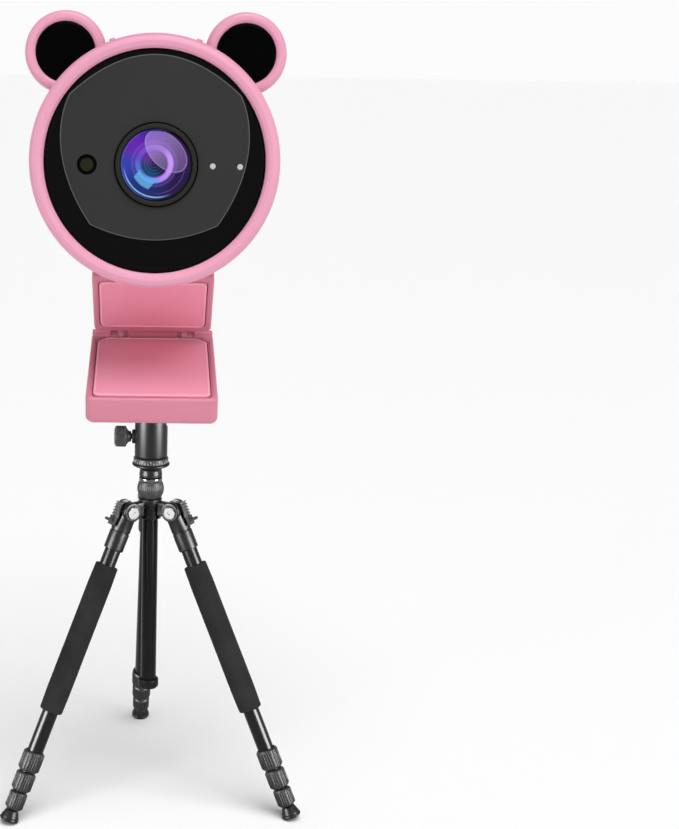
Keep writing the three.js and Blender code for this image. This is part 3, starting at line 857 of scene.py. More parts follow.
def studio_camera():
    data = bpy.data.cameras.new("camera")
    data.sensor_width = SENSOR_WIDTH
    data.lens = FOCAL
    data.shift_x = SIDE_SHIFT
    camera = bpy.data.objects.new("camera", data)
    bpy.context.collection.objects.link(camera)
    rise = math.radians(VIEW_RISE)
    toward = Vector((0, -math.cos(rise), math.sin(rise)))
    target = column_place().translation
    target.z = TARGET_HEIGHT
    camera.location = target + toward * VIEW_DISTANCE
    turn = toward.to_track_quat("Z", "Y").to_matrix()
    roll = Matrix.Rotation(math.radians(VIEW_ROLL), 3, "Z")
    camera.rotation_euler = (turn @ roll).to_euler()
    bpy.context.scene.camera = camera


def panel_light(name, at, toward, width, height, power, only_on=None):
    """A soft rectangular light that the camera doesn't see."""
    data = bpy.data.lights.new(name, "AREA")
    data.shape = "RECTANGLE"
    data.size = width
    data.size_y = height
    data.energy = power
    light = bpy.data.objects.new(name, data)
    bpy.context.collection.objects.link(light)
    light.location = at
    light.rotation_euler = (Vector(at) - Vector(toward)).to_track_quat("Z", "Y").to_euler()
    light.visible_camera = False
    if only_on:
        light.light_linking.receiver_collection = only_on


def sky():
    """White round the horizon, dimmer overhead, so that blacks stay black and the backdrop is pale."""
    world = bpy.data.worlds.new("studio")
    world.use_nodes = True
    tree = world.node_tree
    direction = tree.nodes.new("ShaderNodeTexCoord")
    parts = tree.nodes.new("ShaderNodeSeparateXYZ")
    tree.links.new(direction.outputs["Generated"], parts.inputs[0])
    ramp = tree.nodes.new("ShaderNodeMapRange")
    ramp.interpolation_type = "SMOOTHSTEP"
    ramp.inputs["From Min"].default_value = SKY_WHITE_TO
    ramp.inputs["From Max"].default_value = SKY_DIM_FROM
    ramp.inputs["To Min"].default_value = SKY_WHITE
    ramp.inputs["To Max"].default_value = SKY_DIM
    tree.links.new(parts.outputs[2], ramp.inputs["Value"])
    background = tree.nodes["Background"]
    background.inputs["Color"].default_value = (1, 1, 1, 1)
    tree.links.new(ramp.outputs[0], background.inputs["Strength"])
    return world


def overhead_light():
    data = bpy.data.lights.new("overhead", "SUN")
    data.energy = OVERHEAD
    data.angle = math.radians(OVERHEAD_SPREAD)
    overhead = bpy.data.objects.new("overhead", data)
    bpy.context.collection.objects.link(overhead)
    overhead.rotation_euler = Vector((0.15, -0.45, 1)).to_track_quat("Z", "Y").to_euler()


def studio():
    """Two faint strips, two side lights on the glossy blacks only, a soft sun, the sky and the floor."""
    middle = (0, 0, 0.1)
    for side, power in ((-1, LEFT_STRIP), (1, RIGHT_STRIP)):
        panel_light(f"strip {side}", (side * 0.62, -0.62, 0.22), middle, 0.14, 0.9, power)
        panel_light(f"sheen {side}", (side * 0.42, -0.27, 0.05), middle, 0.28, 0.5, SHEEN, GLOSSY)
    overhead_light()
    scene = bpy.context.scene
    scene.world = sky()
    scene.view_settings.view_transform = "Standard"
    floor_paint = Finish("pale floor", FLOOR_COLOR, 0.9, Specular_IOR_Level=0.1)
    grain = floor_paint.noise(40, 3)
    floor_paint.set("Roughness", 0.85 + grain * 0.1)
    bpy.ops.mesh.primitive_plane_add(size=40)
    floor = bpy.context.object
    floor.name = "floor"
    floor.data.materials.append(floor_paint.material)


# ---- Legs: drawn from the pivot, running down -Z, +X away from the column ----
def leg_casting(side, where):
    """The socket that holds the tube, its rounded head and the fork for the crown's tongue."""
    radius = SOCKET_RADIUS
    groove = radius - 0.22
    collar_radius = radius - 0.02
    casting = shaped(f"leg_{side}_casting", turned([
        (0, -11.6, 0), (radius - 0.1, -11.6, 0.2), (radius, -11.2, 0.3), (radius, -6.4, 0.12),
        (groove, -6.3, 0.05), (groove, -6.1, 0.05), (collar_radius, -6.0, 0.12),
        (collar_radius, 0.2, 0), (0, 0.2, 0)], LEG_SIDES), where)
    head = shaped("head", rod(radius, -radius, radius, LEG_SIDES, "y", edge=0.45), where)
    carved(casting, [head], "UNION")
    fork = shaped("fork", block(-4, 4, -1.5, 1.5, -2.6, 4), where)
    hole = shaped("hole", rod(1.05, -4, 4, HOLE_SIDES, "y"), where)
    carved(casting, [fork, hole])
    edged(casting, 0.08)
    finished(casting, COAT, "black_paint", f"leg_{side}", f"leg_{side}_upper")


def leg_tube(side, where):
    """The outer tube, a little narrower where the casting holds it."""
    tube = shaped(f"leg_{side}_tube", turned([
        (1.97, -14, 0.05), (1.97, -73.5, 0.1), (TUBE_RADIUS, -73.5, 0.1),
        (TUBE_RADIUS, -11.3, 0.05), (2.1, -11.3, 0), (2.1, -14, 0)], LEG_SIDES, closed=True), where)
    finished(tube, TUBE, "black_anodised", f"leg_{side}", f"leg_{side}_upper")


def leg_sections(side, where):
    """Three tubes, each sliding in the one before. The last is nearly solid."""
    for number, section in enumerate(SECTIONS, 2):
        outer = section["outer"]
        is_last = section is SECTIONS[-1]
        wall = outer - 0.06 if is_last else 0.28
        inner = outer - wall
        profile = [(inner, -section["end"], 0.05), (outer, -section["end"], 0.08),
                   (outer, -section["start"], 0.08), (inner, -section["start"], 0.05)]
        tube = shaped(f"leg_{side}_tube_{number}", turned(profile, LEG_SIDES, closed=True), where)
        node = f"leg_{side}_section_{number}"
        finished(tube, TUBE, "black_anodised", node, node)


def rib(radius, reach, low, high, end):
    """A rounded bar along Z with pointed ends, whose crest stands at reach from the axis."""
    sides = 10
    point = 0.35
    rings = []
    for height, share in ((low, point), (low + end, 1.0), (high - end, 1.0), (high, point)):
        rings.append([(reach - radius + x, y, height) for x, y in circle(radius * share, sides)])
    return lofted(rings)


def twist_locks(side, where):
    """Ribbed rubber collars with a step inside, where the next section comes out."""
    for number, lock in enumerate(LOCKS, 1):
        node = f"leg_{side}_twist_lock_{number}"
        outer = lock["outer"] - 0.16
        low = -lock["end"]
        high = -lock["start"]
        core = shaped(node + "_collar", turned([
            (lock["bore"], low, 0.1), (outer - 0.35, low, 0.15), (outer, low + 0.5, 0.25),
            (outer, high - 0.5, 0.25), (outer - 0.35, high, 0.15), (lock["over"], high, 0.1),
            (lock["over"], -lock["step"], 0), (lock["bore"], -lock["step"], 0)],
            LEG_SIDES, closed=True), where)
        finished(core, RUBBER, "black_rubber", node, node)
        rib_radius = math.pi * outer / LOCK_RIBS * 0.62
        bar = rib(rib_radius, lock["outer"], low + 0.35, high - 0.35, 0.3)
        ribs = ringed(node + "_ribs", bar, where, RUBBER, LOCK_RIBS)
        finished(ribs, RUBBER, "black_rubber", node)


def foam_grip(side, where):
    """A foam sleeve, very slightly waisted in the middle, with soft ends."""
    node = f"leg_{side}_grip"
    outer = 3.35
    bore = 2.28
    start = 16.25
    end = 59.8
    profile = [(bore, -end, 0.2), (outer - 0.12, -end, 0.55), (outer + 0.02, -end + 6, 4),
               (outer, -38, 4), (outer + 0.02, -start - 6, 4), (outer - 0.12, -start, 0.55),
               (bore, -start, 0.2)]
    grip = shaped(node + "_foam", turned(profile, LEG_SIDES, closed=True, steps=6), where)
    finished(grip, FOAM, "grey_foam", f"leg_{side}", node)


def angle_stop(side, where):
    """A bright ratchet with a dark slider and its finger tab."""
    node = f"leg_{side}_angle_stop"
    ratchet = shaped(node + "_ratchet", block(3.05, 4.1, -1.2, 1.2, -2.9, 1.6), where)
    nose = shaped("nose", block(2.3, 3.2, -1, 1, -0.8, 0.8), where)
    carved(ratchet, [nose], "UNION")
    gap = ((3.72, 0.02), (4.6, 0.12), (4.6, -0.42), (3.72, -0.32))
    wedge = lofted([[(x, y, z) for x, z in gap] for y in (-2, 2)])
    grooves = [moved(wedge, Matrix.Translation((0, 0, 1.2 - 0.85 * i))) for i in range(5)]
    carved(ratchet, [shaped("groove", groove, where) for groove in grooves])
    edged(ratchet, 0.06, 1)
    finished(ratchet, TOOTH_STEEL, "stop_metal", node, node)
    slider = shaped(node + "_slider", block(3.15, 4.25, -1.25, 1.25, -5.2, -2.7, 0.15), where)
    tab = shaped("tab", block(4.0, 6.0, -0.9, 0.9, -4.3, -3.5, 0.25), where)
    carved(slider, [tab], "UNION")
    edged(slider, 0.05, 1)
    finished(slider, STOP_STEEL, "stop_metal", node)


def pivot_bolt(side, where):
    """A shaft between two bright domed heads with a six-sided key hole in each."""
    node = f"leg_{side}_pivot_bolt"
    half = [(PIN_RADIUS, 2.95, 0), (1.75, 2.95, 0.05), (1.75, 3.25, 0.2), (1.4, 3.42, 0.3), (0, 3.42, 0)]
    mirrored = [(radius, -height, fillet) for radius, height, fillet in reversed(half)]
    bolt = shaped(node + "_shaft", turned(mirrored + half, PIN_SIDES, "y"), where)
    keys = [shaped("key", rod(0.5, y, y + 0.6, 6, "y"), where) for y in (-3.6, 3.0)]
    carved(bolt, keys)
    edged(bolt, 0.03, 1)
    finished(bolt, STEEL, "steel", "crown", node)


def foot(side, where):
    """A rubber cone with a glossy neck, ground flat where it stands."""
    node = f"leg_{side}_foot"
    cone = shaped(node + "_cone", turned([
        (0, -92.3, 0), (2.5, -92.3, 0.2), (2.75, -91.9, 0.2), (2.62, -91.5, 0.1), (2.50, -91.4, 0.05),
        (2.48, -91.2, 0.05), (2.52, -91.1, 0.05), (1.92, -89.6, 0.2), (1.82, -89.3, 0.15),
        (1.0, -89.3, 0), (1.0, -91.0, 0), (0, -91.0, 0)], LEG_SIDES), where)
    for vertex in cone.data.vertices:
        vertex.co.z = max(vertex.co.z, 0)  # the floor
    tidy_mesh(cone.data)
    finished(cone, SOLE, "black_rubber", f"leg_{side}_section_4", node)


def leg(side):
    where = leg_place(side)
    leg_casting(side, where)
    leg_tube(side, where)
    leg_sections(side, where)
    twist_locks(side, where)
    angle_stop(side, where)
    pivot_bolt(side, where)
    foot(side, where)
    if side != "rear":
        foam_grip(side, where)


# ---- Crown, column and ball head: drawn from the column's foot on the floor, +Z up ----
def crown(where):
    """A hub round the column with a tongue out to each leg's pivot."""
    hub = shaped("crown_hub", turned([
        (COLUMN_BORE, 81.6, 0.1), (2.95, 81.6, 0.2), (3.12, 81.9, 0.15), (3.12, 85.0, 0.2),
        (2.98, 85.25, 0.05), (2.98, 85.45, 0.05), (3.25, 85.6, 0.1), (3.2, 87.4, 0.2),
        (COLUMN_BORE, 87.4, 0.1)], closed=True), where)
    root = 2.75
    half = 1.9
    tip = PIVOT_RADIUS + half
    round_tip = half - 0.05
    outline = [(root, -half, 0.05), (tip, -half, round_tip), (tip, half, round_tip), (root, half, 0.05)]
    arm = slab(outline, -1.2, 1.2, 0.15)
    for side in LEG_NAMES:
        pivot = Vector(joints[f"leg_{side}_spread"]["pos_m"]) / MM
        axis = Vector(where.translation) / MM
        outward = math.atan2(pivot.y - axis.y, pivot.x - axis.x)
        turn = Matrix.Rotation(outward, 4, "Z") @ Matrix.Translation((0, 0, PIVOT_HEIGHT)) @ STAND_UP
        carved(hub, [shaped("arm", moved(arm, turn), where)], "UNION")
    edged(hub, 0.08)
    finished(hub, COAT, "black_paint", "crown", "crown")


def collar(where):
    """The column's ribbed rubber lock with a polished band on top."""
    profile = [(COLUMN_BORE, 87.8, 0.1), (3.1, 87.8, 0.15), (3.2, 88.0, 0.1), (3.55, 88.9, 0.8),
               (3.7, 90.2, 2), (3.55, 91.5, 0.8), (3.2, 92.4, 0.2), (COLUMN_BORE, 92.5, 0.05)]
    body = shaped("column_lock_grip", turned(profile, closed=True, steps=8), where)
    finished(body, KNOB_RUBBER, "black_rubber", "column_lock_collar", "column_lock_collar")
    radius = 0.14
    rings = []
    for height, reach in ((88.2, 3.28), (88.9, 3.56), (89.5, 3.7), (90.2, 3.77),
                          (90.9, 3.7), (91.5, 3.56), (92.2, 3.28)):
        rings.append([(reach - radius + x, y, height) for x, y in circle(radius, 8)])
    ribs = ringed("column_lock_ribs", lofted(rings), where, KNOB_RUBBER, COLLAR_RIBS)
    finished(ribs, KNOB_RUBBER, "black_rubber", "column_lock_collar")
    band = shaped("column_lock_band", turned([
        (COLUMN_BORE, 92.4, 0), (3.2, 92.45, 0.1), (3.28, 92.7, 0.15), (3.28, 93.3, 0.15),
        (3.18, 93.5, 0.1), (COLUMN_BORE, 93.5, 0)], closed=True), where)
    finished(band, BLACK_CHROME, "black_anodised", "column_lock_collar", "column_lock_collar")


def column(where):
    """The centre tube and the rubber plug in its lower end."""
    tube = shaped("centre_column_tube", turned([
        (1.7, 33.4, 0.05), (2.2, 33.4, 0.1), (2.2, 96, 0.1), (1.7, 96, 0.05)], closed=True), where)
    finished(tube, TUBE, "black_anodised", "column", "centre_column")
    cap = shaped("column_end_plug", turned([
        (0, 30.4, 0), (2.5, 30.4, 0.3), (2.9, 30.9, 0.2), (2.9, 33.0, 0.3), (2.1, 33.3, 0.1),
        (1.5, 33.3, 0), (1.5, 36, 0.2), (0, 36, 0)]), where)
    finished(cap, SOLE, "black_rubber", "column", "column_end_cap")


def pan_base(where):
    """The neck in the column, the turning scale's ring and its painted lines."""
    neck = shaped("pan_neck", turned([
        (0, 96.3, 0), (2.4, 96.3, 0), (2.4, 93.8, 0.1), (3.2, 93.8, 0.1), (3.2, 94.5, 0.2),
        (3.02, 95.9, 0.5), (4.1, 96.6, 0.8), (5.05, 97.0, 0.2), (5.25, 97.2, 0.12),
        (5.25, 97.55, 0.12), (4.9, 97.7, 0.05), (0, 97.7, 0)]), where)
    finished(neck, COAT, "black_paint", "column", "pan_base")
    scale = shaped("pan_scale_ring", turned([
        (0, 97.7, 0), (4.72, 97.7, 0.05), (4.85, 97.85, 0.1), (4.85, 99.15, 0.15), (4.7, 99.35, 0.1),
        (1.45, 99.35, 0), (1.45, 101.5, 0.1), (0, 101.5, 0)]), where)
    finished(scale, SCALE_BLACK, "black_paint", "column", "pan_base")
    for name, count, height, half_width in (("short", 36, 0.55, 0.09), ("long", 12, 0.95, 0.13)):
        tick = block(4.82, 4.875, -half_width, half_width, 98.0, 98.0 + height)
        ticks = ringed(f"pan_scale_{name}_ticks", tick, where, SCALE_WHITE, count)
        finished(ticks, SCALE_WHITE, "black_paint", "column")


def ball_housing(where):
    """A cup with the ball's seat, a threaded boss for the knob and a slot to drop the stem into."""
    cup = shaped("ball_housing_cup", turned([
        (0, 102, 0), (1.7, 102, 0), (1.7, 99.65, 0.1), (4.3, 99.65, 0.1), (4.3, 99.85, 0.05),
        (4.57, 99.95, 0.1), (4.57, 109.95, 0.2), (4.25, 110.3, 0.15), (0, 110.3, 0)]), where)
    boss = shaped("boss", turned([
        (0, -5.35, 0), (1.75, -5.35, 0.15), (2.0, -5.15, 0.15), (2.0, -3.5, 0), (0, -3.5, 0)],
        LEG_SIDES, "x", middle=KNOB_MIDDLE), where)
    carved(cup, [boss], "UNION")
    seat = shaped("seat", sphere(SEAT_RADIUS, BALL_MIDDLE), where)
    screw_hole = shaped("hole", rod(1.1, -6, -2.5, HOLE_SIDES, "x", KNOB_MIDDLE), where)
    drop = shaped("drop", block(2.5, 5.5, -1.7, 1.7, 108, 112), where)
    carved(cup, [seat, screw_hole, drop])
    edged(cup, 0.07)
    finished(cup, COAT, "black_paint", "ball_housing", "ball_housing")


def clamp_knob(where):
    """A ribbed knob on the end of its screw, lying along -X."""
    body = shaped("clamp_knob_hub", turned([
        (0, -10.2, 0), (1.2, -10.28, 0.2), (2.3, -10.2, 0.4), (2.7, -9.7, 0.2), (2.7, -7.2, 0.2),
        (2.3, -6.8, 0.2), (1.7, -6.35, 0.2), (1.45, -5.95, 0.2), (1.5, -5.6, 0.1), (0.8, -5.55, 0),
        (0.8, -3.0, 0.1), (0, -3.0, 0)], SIDES, "x", middle=KNOB_MIDDLE), where)
    finished(body, KNOB_RUBBER, "black_rubber", "clamp_knob", "clamp_knob")
    lying = Matrix.Translation(KNOB_MIDDLE) @ Matrix.Rotation(math.radians(90), 4, "Y")
    bar = rib(0.3, 2.92, -10.0, -6.95, 0.35)
    ribs = ringed("clamp_knob_ribs", bar, where @ lying, KNOB_RUBBER, KNOB_RIBS)
    finished(ribs, KNOB_RUBBER, "black_rubber", "clamp_knob")


def tilt_ball(where):
    ball = shaped("tilt_ball_sphere", sphere(BALL_RADIUS, BALL_MIDDLE), where)
    finished(ball, CHROME, "ball_chrome", "tilt_ball", "tilt_ball")


# ---- Platform and clip base: drawn from the ball's centre ----
def platform(where):
    """The ball's stem, the knurled disc, its screw and the brass insert that the screw goes into."""
    stem = shaped("camera_platform_disc", turned([
        (0, 2.9, 0), (1.4, 2.9, 0), (1.4, 6.6, 0.4), (2.4, 7.25, 0.3), (4.35, 7.3, 0.15),
        (4.5, 7.5, 0.1), (4.5, 9.5, 0.1), (4.6, 9.6, 0.05), (4.6, 10.0, 0.1), (4.5, 10.1, 0.05),
        (1.6, 10.1, 0), (1.6, 14.2, 0.25), (0, 14.2, 0)]), where)
    seat = shaped("seat", sphere(SEAT_RADIUS, (0, 0, 0)), where)
    carved(stem, [seat])
    finished(stem, COAT, "black_paint", "clip_base", "camera_platform")
    bar = rib(0.17, 4.62, 7.6, 9.5, 0.15)
    knurl = ringed("camera_platform_knurls", bar, where, COAT, PLATFORM_RIBS)
    finished(knurl, COAT, "black_paint", "clip_base")
    insert = shaped("thread_insert_ring", turned([
        (1.8, 10.6, 0.1), (3.0, 10.6, 0.1), (3.0, 15.5, 0.1), (1.8, 15.5, 0.1)], closed=True), where)
    finished(insert, BRASS, "brass", "clip_base", "thread_insert")


def pad_corners(gap):
    """The base pad's outline, wider by gap: rounded in front, chamfered beside the hinge."""
    side = 15.4 + gap
    front = -20.4 - gap
    back = PAD_BACK + gap
    beside = side - PAD_CHAMFER
    before = back - PAD_CHAMFER
    return [(-side, front, 2.0 + gap), (side, front, 2.0 + gap), (side, before, 0.8),
            (beside, back, 0.8), (-beside, back, 0.8), (-side, before, 0.8)]


def on_both_sides(near, far):
    """The spans from near to far at the left and at the right, each in rising order."""
    return [tuple(sorted((side * near, side * far))) for side in (-1, 1)]


def hinge_middle():
    return (0, HINGE_Y, BASE_TOP + HINGE_RISE)


def clip_base(where):
    """The lower jaw: a shallow box with a pocket for its pad, two hinge lugs and two low lips."""
    half = BASE_WIDTH / 2
    outline = rectangle(-half, half, BASE_FRONT, BASE_BACK, 2.4)
    box = shaped("clip_base_box", slab(outline, BASE_BOTTOM, BASE_TOP, 0.7, 6, 8, 1.7), where)
    hinge = hinge_middle()
    lugs = []
    for left, right in on_both_sides(7.0, 9.8):
        lug = rod(KNUCKLE_RADIUS, left, right, KNUCKLE_SIDES, "x", hinge, 0.2)
        lugs.append(shaped("lug", lug, where))
    for left, right in on_both_sides(9.7, 17.2):
        lip = block(left, right, HINGE_Y + 0.3, BASE_BACK - 0.05, BASE_TOP - 2, BASE_TOP + LIP_RISE, 0.5)
        lugs.append(shaped("lip", lip, where))
    carved(box, lugs, "UNION")
    above = BASE_TOP + 3  # where the cutters end, clear of the box
    notch = block(-7.0, 7.0, HINGE_Y - 2.3, BASE_BACK + 1, hinge[2] - 2.4, hinge[2] + 3)
    cuts = [
        shaped("pocket", slab(pad_corners(0.35), BASE_TOP - 1.3, above, 0.02), where),
        shaped("step", slab(pad_corners(0.8), BASE_TOP - 0.35, above, 0.02), where),
        shaped("notch", notch, where)]
    for left, right in on_both_sides(6.9, 8.2):
        relief = block(left, right, HINGE_Y - 3.2, HINGE_Y - 1.2, BASE_TOP - 1.2, above)
        cuts.append(shaped("relief", relief, where))
    cuts.append(shaped("pin hole", rod(PIN_HOLE_RADIUS, -12, 12, HOLE_SIDES, "x", hinge), where))
    cuts.append(shaped("insert hole", rod(3.05, 8, 15.8, LEG_SIDES), where))
    carved(box, cuts)
    edged(box, 0.14, 3)
    finished(box, SALMON, "salmon_plastic", "clip_base", "clip_base")


def clip_base_pad(where):
    top = BASE_TOP + PAD_RISE
    pad = shaped("clip_base_pad_rubber", cushion(pad_corners(0), BASE_TOP - 1.25, top, 0.35), where)
    finished(pad, PAD, "salmon_pad", "clip_base", "clip_base_pad")
    # The bead is coloured lighter than the pad: a painted highlight.
    bead = shaped("clip_base_pad_bead", bead_strip(pad_corners(0), top), where)
    finished(bead, PAD_BEAD_HIGHLIGHT, "salmon_pad", "clip_base")


def clip_hinge_pin(where):
    pin = shaped("clip_hinge_rod", rod(PIN_RADIUS, -9.75, 9.75, PIN_SIDES, "x", hinge_middle(), 0.15), where)
    finished(pin, STEEL, "steel", "clip_base", "clip_hinge_pin")


# ---- Clip leaf and swivel: drawn from the hinge pin, +Z up the leaf, -Y the gripping side ----
def clip_leaf(where):
    """The upper jaw: a plate with its knuckle round the hinge pin and a boss for the swivel."""
    outline = rectangle(-16.5, 16.5, LEAF_START, LEAF_END, 2.2)
    plate = moved(slab(outline, -LEAF_FACE, LEAF_FACE, 0.6, 5, 8), STAND_UP)
    body = shaped("clip_leaf_plate", plate, where)
    barrel = shaped("barrel", rod(
        KNUCKLE_RADIUS, -KNUCKLE_REACH, KNUCKLE_REACH, KNUCKLE_SIDES, "x", edge=0.1), where)
    web = shaped("web", block(-KNUCKLE_REACH, KNUCKLE_REACH, -1.7, 1.4, 0.4, LEAF_START + 1), where)
    boss = shaped("boss", turned([
        (0, LEAF_END - 9, 0), (2.6, LEAF_END - 9, 0.5), (3.2, LEAF_END - 8, 0.5), (3.2, LEAF_END, 0.25),
        (0, LEAF_END, 0)], LEG_SIDES, middle=(0, SWIVEL_BACK, 0)), where)
    carved(body, [barrel, web, boss], "UNION")
    pocket = rectangle(-14.9, 14.9, LEAF_START + 2.6, LEAF_END - 1.8, 1.9)
    recess = moved(slab(pocket, LEAF_FACE - 0.8, LEAF_FACE + 2, 0.02), STAND_UP)
    pin_hole = rod(PIN_HOLE_RADIUS, -12, 12, HOLE_SIDES, "x")
    post_hole = rod(1.7, LEAF_END - 6, LEAF_END + 1, KNUCKLE_SIDES, middle=(0, SWIVEL_BACK, 0))
    carved(body, [shaped("cut", skin, where) for skin in (recess, pin_hole, post_hole)])
    edged(body, 0.14, 3)
    finished(body, SALMON, "salmon_plastic", "clip_leaf", "clip_leaf")


def clip_leaf_pad(where):
    outline = rectangle(-14.6, 14.6, LEAF_START + 2.9, LEAF_END - 2.1, 1.9)
    top = LEAF_FACE + PAD_RISE
    skin = moved(cushion(outline, LEAF_FACE - 0.75, top, 0.3), STAND_UP)
    pad = shaped("clip_leaf_pad_rubber", skin, where)
    finished(pad, PAD, "salmon_pad", "clip_leaf", "clip_leaf_pad")
    # The bead is coloured lighter than the pad: a painted highlight.
    bead = shaped("clip_leaf_pad_bead", moved(bead_strip(outline, top), STAND_UP), where)
    finished(bead, PAD_BEAD_HIGHLIGHT, "salmon_pad", "clip_leaf")


def swivel_post(where):
    """The post that turns in the leaf's boss, with the eye and the pin that the head tilts on."""
    post = shaped("swivel_post_stem", turned([
        (0, LEAF_END - 5.5, 0), (1.4, LEAF_END - 5.5, 0.2), (1.4, LEAF_END + 0.3, 0),
        (2.6, LEAF_END + 0.3, 0.15), (2.6, LEAF_END + 1.2, 0.15), (1.8, LEAF_END + 1.8, 0.2),
        (1.8, TILT_RISE, 0), (0, TILT_RISE, 0)], LEG_SIDES, middle=(0, SWIVEL_BACK, 0)), where)
    middle = (0, SWIVEL_BACK, TILT_RISE)
    carved(post, [shaped("eye", rod(EYE_RADIUS, -2.9, 2.9, LEG_SIDES, "x", middle, 0.25), where)], "UNION")
    carved(post, [shaped("hole", rod(PIN_HOLE_RADIUS, -5, 5, HOLE_SIDES, "x", middle), where)])
    edged(post, 0.08)
    finished(post, SALMON, "salmon_plastic", "swivel_post", "swivel_post")
    pin = shaped("tilt_pin_rod", rod(PIN_RADIUS, -5.9, 5.9, PIN_SIDES, "x", middle, 0.15), where)
    finished(pin, STEEL, "steel", "swivel_post", "tilt_pin")


# ---- Head: drawn from the middle of the ring's front, +Y back ----
def ear_middle(side):
    angle = math.radians(EAR_ANGLE)
    return side * EAR_DISTANCE * math.sin(angle), EAR_DISTANCE * math.cos(angle)


def screw_spots():
    """The middles of the four screws that hold the head's shells together."""
    angles = [math.radians(turn) for turn in SCREW_ANGLES]
    return [(SCREW_CIRCLE * math.cos(angle), 0, SCREW_CIRCLE * math.sin(angle)) for angle in angles]


def ear_skins():
    """Both ears with the hollow in front for the black insert, and the little nub beside each."""
    skins = []
    for side in (-1, 1):
        x, z = ear_middle(side)
        skins.append(turned([
            (0, 6.9, 0), (7.6, 6.9, 0.1), (7.65, 6.0, 0.3), (8.3, 5.5, 0.6), (9.3, 5.45, 0.8),
            (10.2, 6.1, 1.0), (10.4, 8.0, 1.2), (10.0, 10.6, 1.6), (8.2, 12.0, 1.2), (0, 12.0, 0)],
            SIDES, "y", middle=(x, 0, z)))
        lean = Matrix.Rotation(side * math.radians(20), 4, "Y")
        skins.append(moved(block(-0.8, 0.8, 6.5, 9.0, 30, 32.7, 0.3), lean))
    return skins


def back_skins(pivot):
    """What stands on the shell's back: the two arms with their eyes and the cable gland."""
    _, back, height = pivot
    skins = []
    for left, right in on_both_sides(3.2, 5.6):
        skins.append(rod(EYE_RADIUS, left, right, LEG_SIDES, "x", pivot, 0.2))
        skins.append(block(left, right, 10.8, back, height - EYE_RADIUS, height + EYE_RADIUS, 0.15))
    skins.append(turned([
        (0, 12, 0), (2.5, 12, 0), (2.4, 13.2, 0.3), (2.1, 15.2, 0.2), (1.7, 15.6, 0.2), (0, 15.6, 0)],
        LEG_SIDES, "y", middle=GLAND_MIDDLE))
    return skins


def housing_cuts(pivot):
    """The shell's cavity, pin hole, gland hole, screw wells and vents."""
    cavity = turned([
        (0, 4, 0), (29.6, 4, 0), (29.6, 7.3, 0), (27.8, 8.8, 0), (24.4, 10.2, 0), (19, 11.2, 0),
        (0, 11.8, 0)], SIDES, "y")
    pin_hole = rod(PIN_HOLE_RADIUS, -9, 9, HOLE_SIDES, "x", pivot)
    gland_hole = rod(1.1, 13, 17, HOLE_SIDES, "y", GLAND_MIDDLE)
    wells = [rod(1.7, 11.9, 15, HOLE_SIDES, "y", spot) for spot in screw_spots()]
    vents = [block(-6.5, 6.5, 12.3, 15, 6.0 + i * 1.9 - 0.45, 6.0 + i * 1.9 + 0.45) for i in range(-3, 4)]
    return [cavity, pin_hole, gland_hole] + wells + vents


def rear_housing(where):
    """The back shell with both ears."""
    shell = shaped("rear_shell", turned([
        (0, 5.3, 0), (31.2, 5.3, 0.1), (31.25, 6.4, 1), (31.0, 7.5, 1.5), (29, 10, 2.5), (25, 11.6, 3),
        (19, 12.6, 3), (9, 13.1, 3), (0, 13.2, 0)], 160, "y"), where)
    back, below = HEAD_PIVOT
    pivot = (0, back, -below)
    carved(shell, [shaped("ear", skin, where) for skin in ear_skins()], "UNION")
    carved(shell, [shaped("added", skin, where) for skin in back_skins(pivot)], "UNION")
    carved(shell, [shaped("cut", skin, where) for skin in housing_cuts(pivot)])
    edged(shell, 0.12, 2)
    finished(shell, PINK, "pink_shell", "head", "rear_housing")


def housing_screws(where):
    """Domed heads with a cross slot."""
    for number, spot in enumerate(screw_spots(), 1):
        x, _, z = spot
        screw = shaped(f"housing_screw_{number}", turned([
            (0, 11.8, 0), (1.45, 11.8, 0.05), (1.45, 12.05, 0.15), (1.0, 12.25, 0.2), (0, 12.3, 0)],
            PIN_SIDES, "y", middle=spot), where)
        slots = [shaped("slot", block(x - a, x + a, 12.0, 13, z - b, z + b), where)
                 for a, b in ((0.85, 0.17), (0.17, 0.85))]
        carved(screw, slots)
        finished(screw, STOP_STEEL, "steel", "head")


def ear_pads(where):
    """The black inserts in the ears' hollows."""
    for side, word in ((-1, "left"), (1, "right")):
        x, z = ear_middle(side)
        pad = shaped(f"ear_{word}_disc", turned([
            (0, 5.95, 0), (6.9, 5.95, 0.2), (7.5, 6.2, 0.2), (7.5, 6.8, 0), (0, 6.8, 0)],
            SIDES, "y", middle=(x, 0, z)), where)
        finished(pad, EAR_BLACK, "ear_black", "head", f"ear_pad_{word}")


def front_ring(where):
    """The rounded pink hoop round the panel."""
    ring = shaped("front_ring_hoop", turned([
        (28.1, 5, 0), (28.1, 1.1, 0.25), (28.7, 0.4, 0.5), (29.9, 0.0, 0.9), (31.1, 0.45, 0.9),
        (31.75, 1.5, 0.9), (31.9, 3, 0.9), (31.9, 5, 0.15)], 192, "y", closed=True, steps=8), where)
    finished(ring, PINK, "pink_shell", "head", "front_ring")


def bezier(points, steps):
    """Points along a Bezier curve, the last one left out."""
    line = []
    for step in range(steps):
        t = step / steps
        layer = [Vector(point) for point in points]
        while len(layer) > 1:
            layer = [a.lerp(b, t) for a, b in zip(layer, layer[1:])]
        line.append(tuple(layer[0]))
    return line


